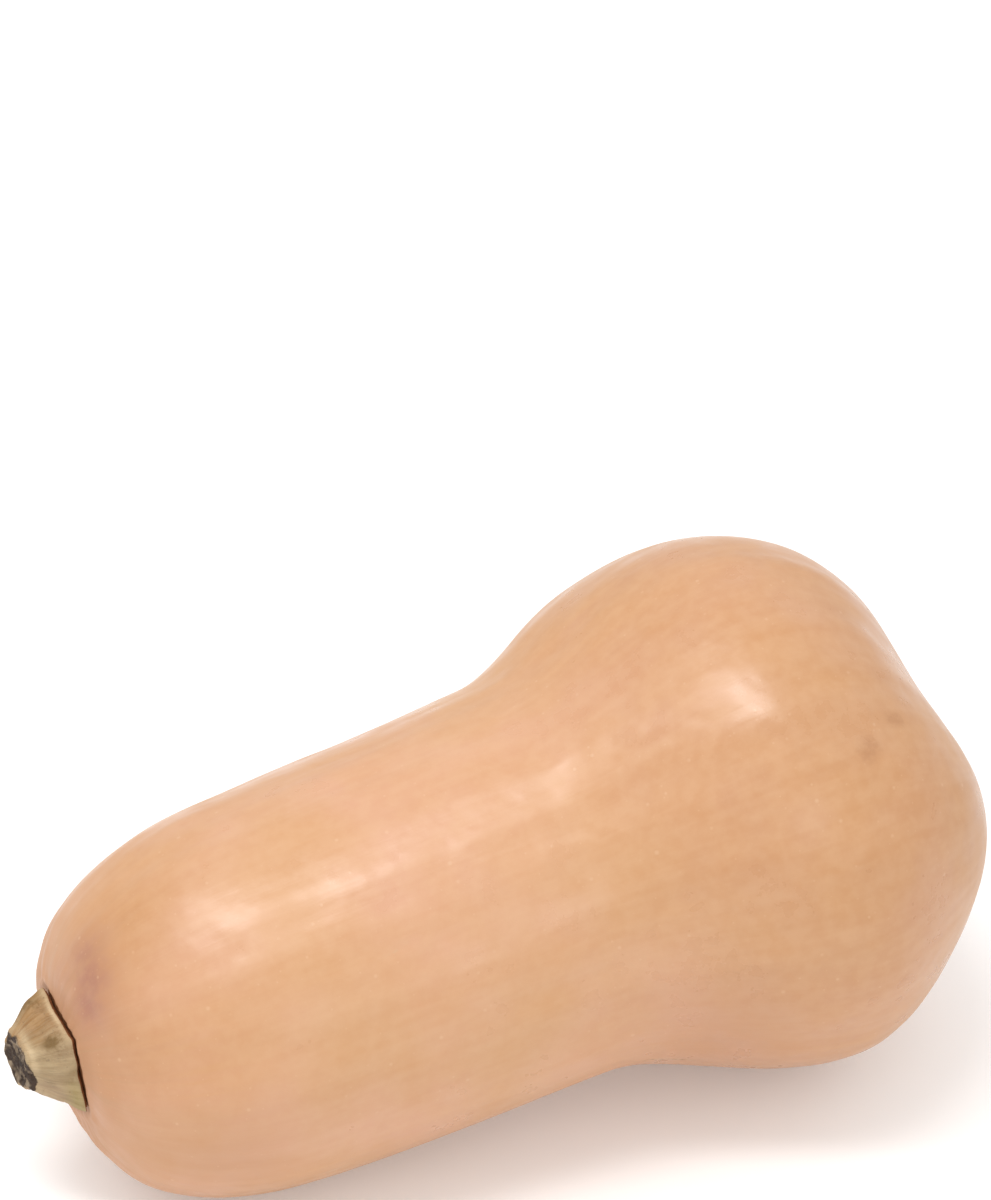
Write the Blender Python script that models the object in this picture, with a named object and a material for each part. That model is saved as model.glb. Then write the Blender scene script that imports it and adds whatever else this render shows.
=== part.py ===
"""A butternut squash lying on its side: the fruit, and the dry stub of stem on its narrow end.

Metres, +Z up. Both pieces are worked out in the squash's own frame: its axis is X, from the stem end at 0 to the
blossom end at LENGTH, and an angle round that axis starts at +Z and turns towards +Y. An empty then lays the squash
down, so that it rests on its neck and its bulb with the middle of its box over the origin.
"""

import math
from collections import namedtuple

import bmesh
import bpy
import numpy as np
from mathutils import Euler, Matrix, Vector

# The fruit's main sizes
LENGTH = 0.206
NECK_RADIUS = 0.0424
NECK_PLACE = 0.060
NECK_TAPER = 0.0275
NECK_CAP = 0.046
NECK_CAP_POWER = 3.85
WAIST_PLACE = 0.107
BULB_RADIUS = 0.060
BULB_PLACE = 0.1575
BULB_RISE_POWER = 0.95
BULB_FALL_POWER = 1.75
CREST_ROUNDING = 0.04

# The blossom end is bent off the axis, towards this angle round it, in degrees
BLOSSOM_BEND = 13
BLOSSOM_BEND_ANGLE = -120

# Broad swells and hollows of the bulb: latitude from its widest ring towards the blossom end, angle round the axis,
# width in degrees and height in metres
Swell = namedtuple("Swell", "latitude angle width height")
SWELLS = (
    Swell(latitude=40, angle=13, width=32, height=0.0016),
    Swell(latitude=60, angle=-19, width=36, height=-0.0074),
    Swell(latitude=42, angle=-82, width=34, height=0.0062),
    Swell(latitude=-30, angle=44, width=18, height=0.0023),
    Swell(latitude=6, angle=36, width=24, height=-0.0012),
)

# Faint ribs that run out of the stem, and broader lobes that meet at the blossom end
RIB_COUNT = 10
RIB_HEIGHT = 0.00032
RIB_ANGLE = 27
RIB_REACH = (0.012, 0.075)
LOBE_COUNT = 5
LOBE_HEIGHT = 0.0006
LOBE_ANGLE = 10
LOBE_REACH = (0.150, 0.190)

# The flat seat of the stem, off the axis towards one side and tilted to face another
SEAT_RADIUS = 0.014
SEAT_FADE = 0.025
SEAT_OFFSET = 0.0036
SEAT_OFFSET_FADE = 1.5
SEAT_ANGLE = 42
SEAT_TILT = 0.10
SEAT_TILT_ANGLE = -19

# The corky scar at the blossom end: a shallow dimple with a low rim round it
SCAR_RADIUS = 0.0045
SCAR_DEPTH = 0.0009
SCAR_RIM_RADIUS = 0.0068
SCAR_RIM_HEIGHT = 0.0003
SCAR_RIM_WIDTH = 0.0022

# The stem: a low five-sided stub that narrows to its cut end, bends a little and is cut at a slant
STEM_HEIGHT = 0.0105
STEM_FOOT_RADIUS = 0.0129
STEM_TIP_RADIUS = 0.0056
STEM_NARROWING = 1.12
STEM_SIDES = 5
STEM_CORNER_ANGLE = -14
STEM_CORNER_ROUNDING = 0.06
STEM_SQUARENESS = 0.55
STEM_BEND = 0.0010
STEM_BEND_POWER = 1.5
STEM_CUT_SLOPE = -0.03
STEM_CUT_DISH = 0.0006
CUT_RING_SHARES = (0.8, 0.45, 0.0)

# The foot of the stem is cut in under its edge, where the fruit shows a dark crack round it
UNDERCUT_HEIGHT = 0.0010
UNDERCUT_WALL = 0.0008
UNDERCUT_DEPTH = 0.0008
UNDERSIDE_RING_SHARE = 0.5

# How the pieces meet and rest
GAP = 0.0003
REST_SINK = 0.0012

# Plain colours and roughness of the two materials
RIND_COLOUR = (0.737, 0.423, 0.254)
RIND_ROUGHNESS = 0.48
STEM_COLOUR = (0.445, 0.352, 0.209)
STEM_ROUGHNESS = 0.80

# Mesh fineness
FRUIT_SEGMENTS = 70
FRUIT_RINGS = 52
STEM_SEGMENTS = 40
STEM_SIDE_RINGS = 10
END_DENSITY = 0.05
SHARP_EDGE_ANGLE = 40


def smooth_step(value):
    """0 below 0, 1 above 1, and an even S-shaped rise between them."""
    value = np.clip(value, 0.0, 1.0)
    return value * value * (3.0 - 2.0 * value)


def neck_radius(along):
    """A round-ended cylinder that widens slowly towards the bulb."""
    cap = np.clip(along / NECK_CAP, 0.0, 1.0)
    radius = NECK_RADIUS + NECK_TAPER * (along - NECK_PLACE)
    return radius * (1.0 - (1.0 - cap) ** 2) ** (1.0 / NECK_CAP_POWER)


def fruit_radius(along):
    """Radius of the plain fruit: past the waist it rises to the bulb's in an S-shaped curve, then closes round."""
    neck = neck_radius(along)
    rise = np.clip((along - WAIST_PLACE) / (BULB_PLACE - WAIST_PLACE), 0.0, 1.0)
    stem_side = neck + (BULB_RADIUS - neck) * smooth_step(rise**BULB_RISE_POWER)
    share = np.clip((along - BULB_PLACE) / (LENGTH - BULB_PLACE), 0.0, 1.0) ** 2
    power = BULB_FALL_POWER / 2.0
    start = CREST_ROUNDING**power
    fall = ((share + CREST_ROUNDING) ** power - start) / ((1.0 + CREST_ROUNDING) ** power - start)
    blossom_side = BULB_RADIUS * np.sqrt(np.maximum(1.0 - fall, 0.0))
    return np.where(along < BULB_PLACE, stem_side, blossom_side)


def relief(along, angle):
    """Height of the ribs near the stem and of the lobes near the blossom end."""
    rib_fade = 1.0 - smooth_step((along - RIB_REACH[0]) / (RIB_REACH[1] - RIB_REACH[0]))
    ribs = RIB_HEIGHT * np.cos(RIB_COUNT * (angle - math.radians(RIB_ANGLE))) * rib_fade
    lobe_rise = smooth_step((along - LOBE_REACH[0]) / (LOBE_REACH[1] - LOBE_REACH[0]))
    lobes = LOBE_HEIGHT * np.cos(LOBE_COUNT * (angle - math.radians(LOBE_ANGLE))) * lobe_rise
    return ribs + lobes


def side_vector(degrees):
    """The direction square to the axis at an angle round it."""
    return np.array((0.0, math.sin(math.radians(degrees)), math.cos(math.radians(degrees))))


def bend_blossom_end(points, along):
    """Turns each ring past the bulb's widest about the bulb's centre, more and more towards the tip."""
    side = side_vector(BLOSSOM_BEND_ANGLE)
    turn = math.radians(BLOSSOM_BEND) * smooth_step((along - BULB_PLACE) / (LENGTH - BULB_PLACE))
    ahead = points[..., 0] - BULB_PLACE
    beside = points @ side
    moved = ahead * np.sin(turn) + beside * (np.cos(turn) - 1.0)
    points = points + moved[..., None] * side
    points[..., 0] = BULB_PLACE + ahead * np.cos(turn) - beside * np.sin(turn)
    return points


def swell_bulb(points):
    """Moves points straight out from the bulb's centre by the swells and hollows that lie in their direction."""
    centre = np.array((BULB_PLACE, 0.0, 0.0))
    outward = points - centre
    outward = outward / np.linalg.norm(outward, axis=-1, keepdims=True)
    height = np.zeros(points.shape[:-1])
    for swell in SWELLS:
        latitude = math.radians(swell.latitude)
        middle = math.sin(latitude) * np.array((1.0, 0.0, 0.0)) + math.cos(latitude) * side_vector(swell.angle)
        away = np.degrees(np.arccos(np.clip(outward @ middle, -1.0, 1.0)))
        height = height + swell.height * np.exp(-((away / swell.width) ** 2))
    return points + outward * height[..., None]


def blossom_scar(radius):
    """How far the blossom end is drawn in at a distance from its middle: a dimple inside a low rim."""
    dimple = SCAR_DEPTH * np.exp(-((radius / SCAR_RADIUS) ** 4))
    rim = SCAR_RIM_HEIGHT * np.exp(-(((radius - SCAR_RIM_RADIUS) / SCAR_RIM_WIDTH) ** 2))
    return dimple - rim


def fruit_surface(along, angle):
    """Points of the fruit's skin in its own frame, for distances along the axis and angles round it."""
    plain = fruit_radius(along)
    radius = plain + relief(along, angle) * smooth_step(plain / NECK_RADIUS)
    x = along - np.where(along > BULB_PLACE, blossom_scar(plain), 0.0)
    plain_points = np.stack(np.broadcast_arrays(x, radius * np.sin(angle), radius * np.cos(angle)), axis=-1)
    points = swell_bulb(bend_blossom_end(plain_points, along))

    # The stem end is flattened to the seat, tilted with it, and its rings are centred on the stem
    in_cap = along < NECK_CAP
    keep = smooth_step((plain - SEAT_RADIUS) / (SEAT_FADE - SEAT_RADIUS))
    tilt = SEAT_TILT * np.clip(1.0 - along / NECK_CAP, 0.0, 1.0) * (points @ side_vector(SEAT_TILT_ANGLE))
    points[..., 0] = points[..., 0] * np.where(in_cap, keep, 1.0) + tilt
    nearness = np.where(in_cap, np.clip(1.0 - (plain / NECK_RADIUS) ** 2, 0.0, 1.0), 0.0)
    return points + SEAT_OFFSET * nearness[..., None] ** SEAT_OFFSET_FADE * side_vector(SEAT_ANGLE)


def fruit_stations(count):
    """Distances along the axis of count rings at even steps along the skin, a little closer at both ends."""
    fine = 0.5 * LENGTH * (1.0 - np.cos(np.linspace(0.0, math.pi, 2001)))
    radius = fruit_radius(fine)
    steps = np.hypot(np.diff(fine), np.diff(radius))
    travelled = np.concatenate(((0.0,), np.cumsum(steps)))
    share = np.linspace(0.0, 1.0, count + 2)
    share = share - END_DENSITY * np.sin(2.0 * math.pi * share)
    return np.interp(share * travelled[-1], travelled, fine)


def fruit_points():
    """The fruit's rings, with each end's pole as the first and last of them."""
    along = fruit_stations(FRUIT_RINGS)[:, None]
    angle = np.linspace(0.0, 2.0 * math.pi, FRUIT_SEGMENTS, endpoint=False)[None, :]
    return fruit_surface(along, angle)


def lean_on_ground(points):
    """The angle at which the lowest points of neck and bulb are on one level, when the narrow end tips down."""
    x = points[..., 0].ravel()
    z = points[..., 2].ravel()
    neck = np.flatnonzero(x < WAIST_PLACE)
    bulb = np.flatnonzero(x >= WAIST_PLACE)
    lean = 0.0
    for _ in range(8):
        height = z * math.cos(lean) + x * math.sin(lean)
        neck_low = neck[np.argmin(height[neck])]
        bulb_low = bulb[np.argmin(height[bulb])]
        lean = math.atan2(z[neck_low] - z[bulb_low], x[bulb_low] - x[neck_low])
    return lean


def press_flat(points, lean):
    """Presses what would sink into the ground up to its level, so that the fruit has two small flat spots."""
    upward = np.array((math.sin(lean), 0.0, math.cos(lean)))
    height = points @ upward
    below = np.maximum(height.min() + REST_SINK - height, 0.0)
    return points + below[..., None] * upward


def stem_outline(angle):
    """Radius of the stem's five-sided section as a share of its mean: a pentagon with softened corners."""
    turn = 2.0 * math.pi / STEM_SIDES
    from_flat = np.mod(angle - math.radians(STEM_CORNER_ANGLE), turn) - turn / 2.0
    pentagon = math.cos(turn / 4.0) / np.cos(from_flat * (1.0 - STEM_CORNER_ROUNDING))
    return 1.0 + STEM_SQUARENESS * (pentagon - 1.0)


def stem_points():
    """The stem's rings in its own frame, +Z away from the fruit, from the middle of its foot to that of its cut."""
    angle = np.linspace(0.0, 2.0 * math.pi, STEM_SEGMENTS, endpoint=False)
    outline = stem_outline(angle)
    underside = STEM_FOOT_RADIUS - UNDERCUT_DEPTH
    rings = [(0.0, 0.0), (underside * UNDERSIDE_RING_SHARE, 0.0), (underside, 0.0), (underside, UNDERCUT_WALL)]
    for step in np.linspace(0.0, 1.0, STEM_SIDE_RINGS):
        radius = STEM_FOOT_RADIUS + (STEM_TIP_RADIUS - STEM_FOOT_RADIUS) * step**STEM_NARROWING
        rings.append((radius, UNDERCUT_HEIGHT + (STEM_HEIGHT - UNDERCUT_HEIGHT) * step))
    for share in CUT_RING_SHARES:
        rings.append((STEM_TIP_RADIUS * share, STEM_HEIGHT - STEM_CUT_DISH * (1.0 - share**2)))

    points = np.zeros((len(rings), STEM_SEGMENTS, 3))
    for row, (radius, height) in enumerate(rings):
        rise = height / STEM_HEIGHT
        x = radius * outline * np.cos(angle)
        points[row, :, 0] = x + STEM_BEND * rise**STEM_BEND_POWER
        points[row, :, 1] = radius * outline * np.sin(angle)
        points[row, :, 2] = height - STEM_CUT_SLOPE * x * rise**2
    return points


def ring_object(name, points, material):
    """One closed mesh from rings of points, whose first and last rings are drawn together to a pole."""
    mesh = bmesh.new()
    first = mesh.verts.new(points[0, 0])
    rows = [[mesh.verts.new(point) for point in ring] for ring in points[1:-1]]
    last = mesh.verts.new(points[-1, 0])
    count = len(rows[0])
    for index in range(count):
        beside = (index + 1) % count
        mesh.faces.new((first, rows[0][beside], rows[0][index]))
        mesh.faces.new((last, rows[-1][index], rows[-1][beside]))
        for lower, upper in zip(rows[:-1], rows[1:]):
            mesh.faces.new((lower[index], lower[beside], upper[beside], upper[index]))
    bmesh.ops.recalc_face_normals(mesh, faces=mesh.faces)
    data = bpy.data.meshes.new(name)
    mesh.to_mesh(data)
    mesh.free()
    data.shade_smooth()
    data.set_sharp_from_angle(angle=math.radians(SHARP_EDGE_ANGLE))
    data.materials.append(material)
    piece = bpy.data.objects.new(name, data)
    bpy.context.scene.collection.objects.link(piece)
    return piece


def plain_material(name, colour, roughness):
    """A Principled material of one colour, not metallic."""
    material = bpy.data.materials.new(name)
    material.use_nodes = True
    shader = material.node_tree.nodes["Principled BSDF"]
    shader.inputs["Base Color"].default_value = (*colour, 1.0)
    shader.inputs["Roughness"].default_value = roughness
    shader.inputs["Metallic"].default_value = 0.0
    return material


def stem_placement():
    """The stem's place on the seat: its +Z along the seat's normal, its +X to the side that the seat is moved to."""
    side = Vector(side_vector(SEAT_ANGLE))
    out = (Vector((-1.0, 0.0, 0.0)) + SEAT_TILT * Vector(side_vector(SEAT_TILT_ANGLE))).normalized()
    across = (side - side.dot(out) * out).normalized()
    turned = Matrix((across, out.cross(across), out)).transposed()
    place = SEAT_OFFSET * side + GAP * out
    return place, turned.to_euler()


def clear_scene():
    """Removes every object that the file already holds."""
    for item in list(bpy.data.objects):
        bpy.data.objects.remove(item, do_unlink=True)


def lay_down(pieces, lean):
    """Parents the pieces to an empty that tips the squash onto its flat spots, over the middle of the origin."""
    resting = bpy.data.objects.new("resting_place", None)
    bpy.context.scene.collection.objects.link(resting)
    tip = Euler((0.0, -lean, 0.0))
    corners = []
    for piece in pieces:
        piece.parent = resting
        local = Matrix.Translation(piece.location) @ piece.rotation_euler.to_matrix().to_4x4()
        corners.extend(tip.to_matrix() @ (local @ vertex.co) for vertex in piece.data.vertices)
    cloud = np.array(corners)
    middle = 0.5 * (cloud.min(axis=0) + cloud.max(axis=0))
    resting.rotation_euler = tip
    resting.location = (-middle[0], -middle[1], -cloud[:, 2].min())


def main():
    """Builds the fruit and the stem, and lays them down."""
    clear_scene()
    rind = plain_material("rind", RIND_COLOUR, RIND_ROUGHNESS)
    dry_stem = plain_material("dry_stem", STEM_COLOUR, STEM_ROUGHNESS)

    skin = fruit_points()
    lean = lean_on_ground(skin)
    fruit = ring_object("fruit", press_flat(skin, lean), rind)

    stem = ring_object("stem", stem_points(), dry_stem)
    stem.location, stem.rotation_euler = stem_placement()
    lay_down((fruit, stem), lean)


main()
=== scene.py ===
"""Looks of a butternut squash that lies on its side: its satin rind, its dry stub of stem and a pale studio.

Metres, +Z up. The fruit and the stem are worked out in the squash's own frame: X is its axis, from the stem end at 0
to the blossom end, and an angle round that axis starts at +Z and turns towards +Y. The last step lays them down
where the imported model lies.
"""

import logging
import math
from dataclasses import dataclass, field
from enum import Enum, IntEnum

import bpy
import numpy as np
from mathutils import Matrix, Vector

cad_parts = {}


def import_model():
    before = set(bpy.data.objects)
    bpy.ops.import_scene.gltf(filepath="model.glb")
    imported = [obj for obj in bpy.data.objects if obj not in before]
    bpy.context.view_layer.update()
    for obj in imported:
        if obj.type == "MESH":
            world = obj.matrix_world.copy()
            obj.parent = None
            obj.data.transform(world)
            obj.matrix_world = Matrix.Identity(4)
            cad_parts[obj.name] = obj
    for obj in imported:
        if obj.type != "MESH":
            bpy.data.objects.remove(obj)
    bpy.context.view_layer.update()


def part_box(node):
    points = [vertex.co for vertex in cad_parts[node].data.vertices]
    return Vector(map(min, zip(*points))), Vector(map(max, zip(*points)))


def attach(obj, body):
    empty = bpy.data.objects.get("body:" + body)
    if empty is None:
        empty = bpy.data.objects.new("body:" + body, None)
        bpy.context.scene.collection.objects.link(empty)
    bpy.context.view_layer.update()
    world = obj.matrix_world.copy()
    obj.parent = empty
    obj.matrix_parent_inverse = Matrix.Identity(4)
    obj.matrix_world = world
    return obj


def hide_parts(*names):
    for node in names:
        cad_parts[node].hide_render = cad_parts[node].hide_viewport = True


LOG = logging.getLogger("squash")
PHOTO_WIDTH = 991
PHOTO_HEIGHT = 1200
WAVE_COUNT = 26

Array = np.ndarray
Colour = tuple[float, float, float, float]
Socket = bpy.types.NodeSocket


class Slot(Enum):
    """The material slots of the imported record."""

    RIND = "rind"
    STEM = "stem"


class Layer(Enum):
    """Names of the values that the meshes carry for their materials."""

    PLACE = "skin_place"
    STEM_NEAR = "stem_near"
    CRACK_AND_SHADE = "crack_and_shade"
    CORK = "cork"
    BRUISE = "bruise"
    BLUSH = "blush"
    HONEY = "honey"
    DEEP_TAN_AND_SHADE = "deep_tan_and_shade"
    SCAR = "scar"
    SCAR_RADIUS = "scar_radius"
    FACET = "facet"
    RIDGE = "ridge"
    LIP = "lip"
    GREEN = "green"
    OLIVE = "olive"
    UNDERCUT_AND_SHADE = "undercut"
    CUT = "cut"


class MarkKind(Enum):
    """What a small mark on the rind is."""

    NICK = "nick"
    CORKY = "corky"
    SPOT = "spot"


class Seed(IntEnum):
    """Which wave noise each kind of relief uses."""

    FLUTES = 5
    FINE_FLUTES = 6
    DENTS = 7
    RIPPLES = 8
    LIP = 21
    CREASES = 22
    RIB_WANDER = 31
    FIBRES = 32
    KNOBS = 33
    FOOT_WAVES = 34
    FOOT_RIPPLES = 35
    CALLUS = 36
    CUT_LUMPS = 41
    CUT_GRAIN = 42


def screen(red: float, green: float, blue: float) -> Colour:
    """Turns a colour as a screen shows it into the linear colour that a shader takes.

    Args:
        red: Red, from 0 to 255.
        green: Green, from 0 to 255.
        blue: Blue, from 0 to 255.

    Returns:
        The linear colour, with an alpha of 1.
    """
    shares = [part / 255.0 for part in (red, green, blue)]
    linear = [share / 12.92 if share <= 0.04045 else ((share + 0.055) / 1.055) ** 2.4 for share in shares]
    return (linear[0], linear[1], linear[2], 1.0)


def smooth_step(value: Array) -> Array:
    """0 below 0, 1 above 1, and an even S-shaped rise between them: t * t * (3 - 2t)."""
    value = np.clip(value, 0.0, 1.0)
    return value * value * (3.0 - 2.0 * value)


def bell(distance: Array, width: float) -> Array:
    """1 at a distance of 0, falling away evenly on both sides: e to the minus (distance / width) squared."""
    return np.exp(-((distance / width) ** 2))


def side_vector(degrees: float) -> Array:
    """The direction square to the squash's axis at an angle round it."""
    return np.array((0.0, math.sin(math.radians(degrees)), math.cos(math.radians(degrees))))


def wave_noise(places: Array, wavelength: float, seed: Seed) -> Array:
    """Smooth noise of about -1 to 1 at places in space, the same at each run.

    The sum of sine waves in even random directions, with lengths of 0.7 to 1.4 times the wavelength and random
    starts, over the root of half their number, halved.

    Args:
        places: Points, with x, y and z last.
        wavelength: Mean distance from crest to crest.
        seed: Which of all such noises it is.

    Returns:
        One value for each point.
    """
    dice = np.random.default_rng(int(seed))
    directions = dice.normal(size=(WAVE_COUNT, 3))
    directions /= np.linalg.norm(directions, axis=1, keepdims=True)
    lengths = wavelength * dice.uniform(0.7, 1.4, size=WAVE_COUNT)
    starts = dice.uniform(0.0, 2.0 * math.pi, size=WAVE_COUNT)
    phases = places @ (directions * (2.0 * math.pi / lengths)[:, None]).T + starts
    return np.sin(phases).sum(axis=-1) / math.sqrt(WAVE_COUNT / 2.0) * 0.5


def surface_normals(points: Array, inward: Array) -> Array:
    """Unit normals of a grid of rings, from the slopes along and round it.

    Args:
        points: The grid, rings by segments by 3, closed round each ring.
        inward: A point inside for each ring, which the normals point away from.

    Returns:
        One normal for each grid point.
    """
    wrapped = np.concatenate((points[:, -1:], points, points[:, :1]), axis=1)
    round_slope = wrapped[:, 2:] - wrapped[:, :-2]
    along_slope = np.gradient(points, axis=0)
    normals = np.cross(round_slope, along_slope)
    lengths = np.linalg.norm(normals, axis=-1, keepdims=True)
    normals = normals / np.maximum(lengths, 1e-12)
    outward = np.sum(normals * (points - inward[:, None, :]), axis=-1, keepdims=True)
    return np.where(outward < 0.0, -normals, normals)


def closed_object(
    name: str, points: Array, layers: dict[Layer, Array], material: bpy.types.Material
) -> bpy.types.Object:
    """Makes one closed mesh from rings of points, whose first and last rings are single points.

    Args:
        name: Name of the object and of its mesh.
        points: The grid, rings by segments by 3.
        layers: Values for the material, on the same grid, with one or three numbers a point.
        material: The finish of the whole piece.

    Returns:
        The object, at the origin, with smooth faces that point outwards.
    """
    rows, columns = points.shape[0] - 2, points.shape[1]
    inner = np.arange(rows * columns).reshape(rows, columns) + 1
    beside = np.roll(inner, -1, axis=1)
    last = rows * columns + 1
    quads = np.stack((inner[:-1], beside[:-1], beside[1:], inner[1:]), axis=-1).reshape(-1, 4)
    start_fan = np.stack((np.zeros(columns, int), beside[0], inner[0]), axis=-1)
    end_fan = np.stack((np.full(columns, last), inner[-1], beside[-1]), axis=-1)
    corners = np.concatenate((start_fan.ravel(), quads.ravel(), end_fan.ravel()))
    sizes = np.concatenate((np.full(columns, 3), np.full(len(quads), 4), np.full(columns, 3)))

    def flat(grid: Array) -> Array:
        """The grid's values with one row for each vertex of the mesh."""
        width = 1 if grid.ndim == 2 else grid.shape[-1]
        body = grid[1:-1].reshape(rows * columns, width)
        return np.concatenate((grid[0, :1].reshape(1, width), body, grid[-1, :1].reshape(1, width)))

    mesh = bpy.data.meshes.new(name)
    mesh.vertices.add(last + 1)
    mesh.vertices.foreach_set("co", flat(points).astype(np.float32).ravel())
    mesh.loops.add(len(corners))
    mesh.loops.foreach_set("vertex_index", corners.astype(np.int32))
    mesh.polygons.add(len(sizes))
    mesh.polygons.foreach_set("loop_start", (np.cumsum(sizes) - sizes).astype(np.int32))
    mesh.update(calc_edges=True)
    mesh.validate()
    mesh.polygons.foreach_set("use_smooth", np.ones(len(sizes), bool))
    if signed_volume(flat(points), quads) < 0.0:
        mesh.flip_normals()
    for layer, grid in layers.items():
        vector = grid.ndim == 3
        values = mesh.attributes.new(layer.value, "FLOAT_VECTOR" if vector else "FLOAT", "POINT")
        values.data.foreach_set("vector" if vector else "value", flat(grid).astype(np.float32).ravel())
    mesh.materials.append(material)
    piece = bpy.data.objects.new(name, mesh)
    bpy.context.scene.collection.objects.link(piece)
    return piece


def signed_volume(vertices: Array, quads: Array) -> float:
    """The volume inside the quads, which is below 0 where they face inwards: a sixth of all corner products."""
    corner = vertices[quads]
    first = np.cross(corner[:, 1], corner[:, 2])
    second = np.cross(corner[:, 2], corner[:, 3])
    return float(np.sum(corner[:, 0] * (first + second)) / 6.0)


@dataclass
class Bench:
    """Adds nodes to one node tree and joins them.

    Attributes:
        tree: The node tree of a material or a group.
    """

    tree: bpy.types.NodeTree

    def node(self, kind: str, **settings: object) -> bpy.types.Node:
        """Adds a node.

        Args:
            kind: Blender's name for the kind of node.
            settings: Properties of the node.

        Returns:
            The node.
        """
        made = self.tree.nodes.new(kind)
        for name, value in settings.items():
            setattr(made, name, value)
        return made

    def feed(self, target: Socket, source: "Socket | float | Colour") -> None:
        """Links a socket into the target, or sets the target where the source is a plain value."""
        if isinstance(source, bpy.types.NodeSocket):
            self.tree.links.new(source, target)
        else:
            target.default_value = source

    def math(self, operation: str, first: "Socket | float", second: "Socket | float" = 0.0) -> Socket:
        """The result of one sum on two values, kept as it is."""
        made = self.node("ShaderNodeMath", operation=operation)
        self.feed(made.inputs[0], first)
        self.feed(made.inputs[1], second)
        return made.outputs[0]

    def times(self, *factors: "Socket | float") -> Socket:
        """The product of two or more values."""
        return self._chain("MULTIPLY", factors)

    def total(self, *parts: "Socket | float") -> Socket:
        """The sum of two or more values."""
        return self._chain("ADD", parts)

    def largest(self, *values: "Socket | float") -> Socket:
        """The largest of two or more values."""
        return self._chain("MAXIMUM", values)

    def _chain(self, operation: str, values: "tuple[Socket | float, ...]") -> Socket:
        """The result of one operation on the first two values, then on that and the third, and so on."""
        result = values[0]
        for value in values[1:]:
            result = self.math(operation, result, value)
        return result

    def step(self, value: Socket, low: float, high: float, start: float = 0.0, end: float = 1.0) -> Socket:
        """A smooth rise from start to end while a value goes from low to high.

        Args:
            value: The value that drives the rise.
            low: Where the rise starts.
            high: Where it ends.
            start: Result at and below low.
            end: Result at and above high.

        Returns:
            The result socket.
        """
        made = self.node("ShaderNodeMapRange", interpolation_type="SMOOTHSTEP")
        self.feed(made.inputs["Value"], value)
        made.inputs["From Min"].default_value = low
        made.inputs["From Max"].default_value = high
        made.inputs["To Min"].default_value = start
        made.inputs["To Max"].default_value = end
        return made.outputs["Result"]

    def blend(self, share: Socket, under: "Socket | Colour", over: "Socket | Colour") -> Socket:
        """Lays one colour over another by a share of 0 to 1.

        Args:
            share: How much of the upper colour shows.
            under: The lower colour.
            over: The upper colour.

        Returns:
            The mixed colour.
        """
        made = self.node("ShaderNodeMix", data_type="RGBA", blend_type="MIX", clamp_factor=True)
        self.feed(made.inputs["Factor"], share)
        self.feed(made.inputs[6], under)
        self.feed(made.inputs[7], over)
        return made.outputs[2]

    def layer(self, layer: Layer) -> bpy.types.Node:
        """The node that reads one of the mesh's own values."""
        return self.node("ShaderNodeAttribute", attribute_name=layer.value)

    def noise(self, place: Socket, size: "Socket | float", detail: float = 2.0, rough: float = 0.5) -> Socket:
        """Cloudy noise of 0 to 1 whose lumps are about size metres across.

        Args:
            place: Where the noise is read.
            size: Size of the lumps.
            detail: How many finer layers it has.
            rough: How strong the finer layers are.

        Returns:
            The noise value.
        """
        made = self.node("ShaderNodeTexNoise")
        self.feed(made.inputs["Vector"], place)
        scale = self.math("DIVIDE", 1.0, size) if isinstance(size, bpy.types.NodeSocket) else 1.0 / size
        self.feed(made.inputs["Scale"], scale)
        made.inputs["Detail"].default_value = detail
        made.inputs["Roughness"].default_value = rough
        return made.outputs["Fac"]

    def stretch(self, place: Socket, x: float, y: float, z: float) -> Socket:
        """The place with each coordinate multiplied, so that patterns are drawn out where it is below 1."""
        made = self.node("ShaderNodeVectorMath", operation="MULTIPLY")
        self.feed(made.inputs[0], place)
        made.inputs[1].default_value = (x, y, z)
        return made.outputs[0]

    def group(self, tree: bpy.types.NodeTree, **inputs: "Socket | float") -> bpy.types.Node:
        """Places a node group and feeds its inputs by name."""
        made = self.node("ShaderNodeGroup")
        made.node_tree = tree
        for name, source in inputs.items():
            self.feed(made.inputs[name], source)
        return made

    def bump(self, shader: bpy.types.Node, height: Socket, distance: float) -> None:
        """Turns a height into the shader's normal.

        Args:
            shader: The shader node.
            height: The height, 1 for the full distance.
            distance: How far a height of 1 stands up.
        """
        made = self.node("ShaderNodeBump")
        made.inputs["Strength"].default_value = 1.0
        made.inputs["Distance"].default_value = distance
        self.feed(made.inputs["Height"], height)
        self.feed(shader.inputs["Normal"], made.outputs["Normal"])


@dataclass(frozen=True)
class SpeckSpread:
    """How small specks of one kind are spread over a surface.

    Attributes:
        spacing: Distance from place to place.
        radius: Radius of a middling speck.
        share: Share of the places that have one.
        strength: How strongly they show.
    """

    spacing: float
    radius: float
    share: float
    strength: float


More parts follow.
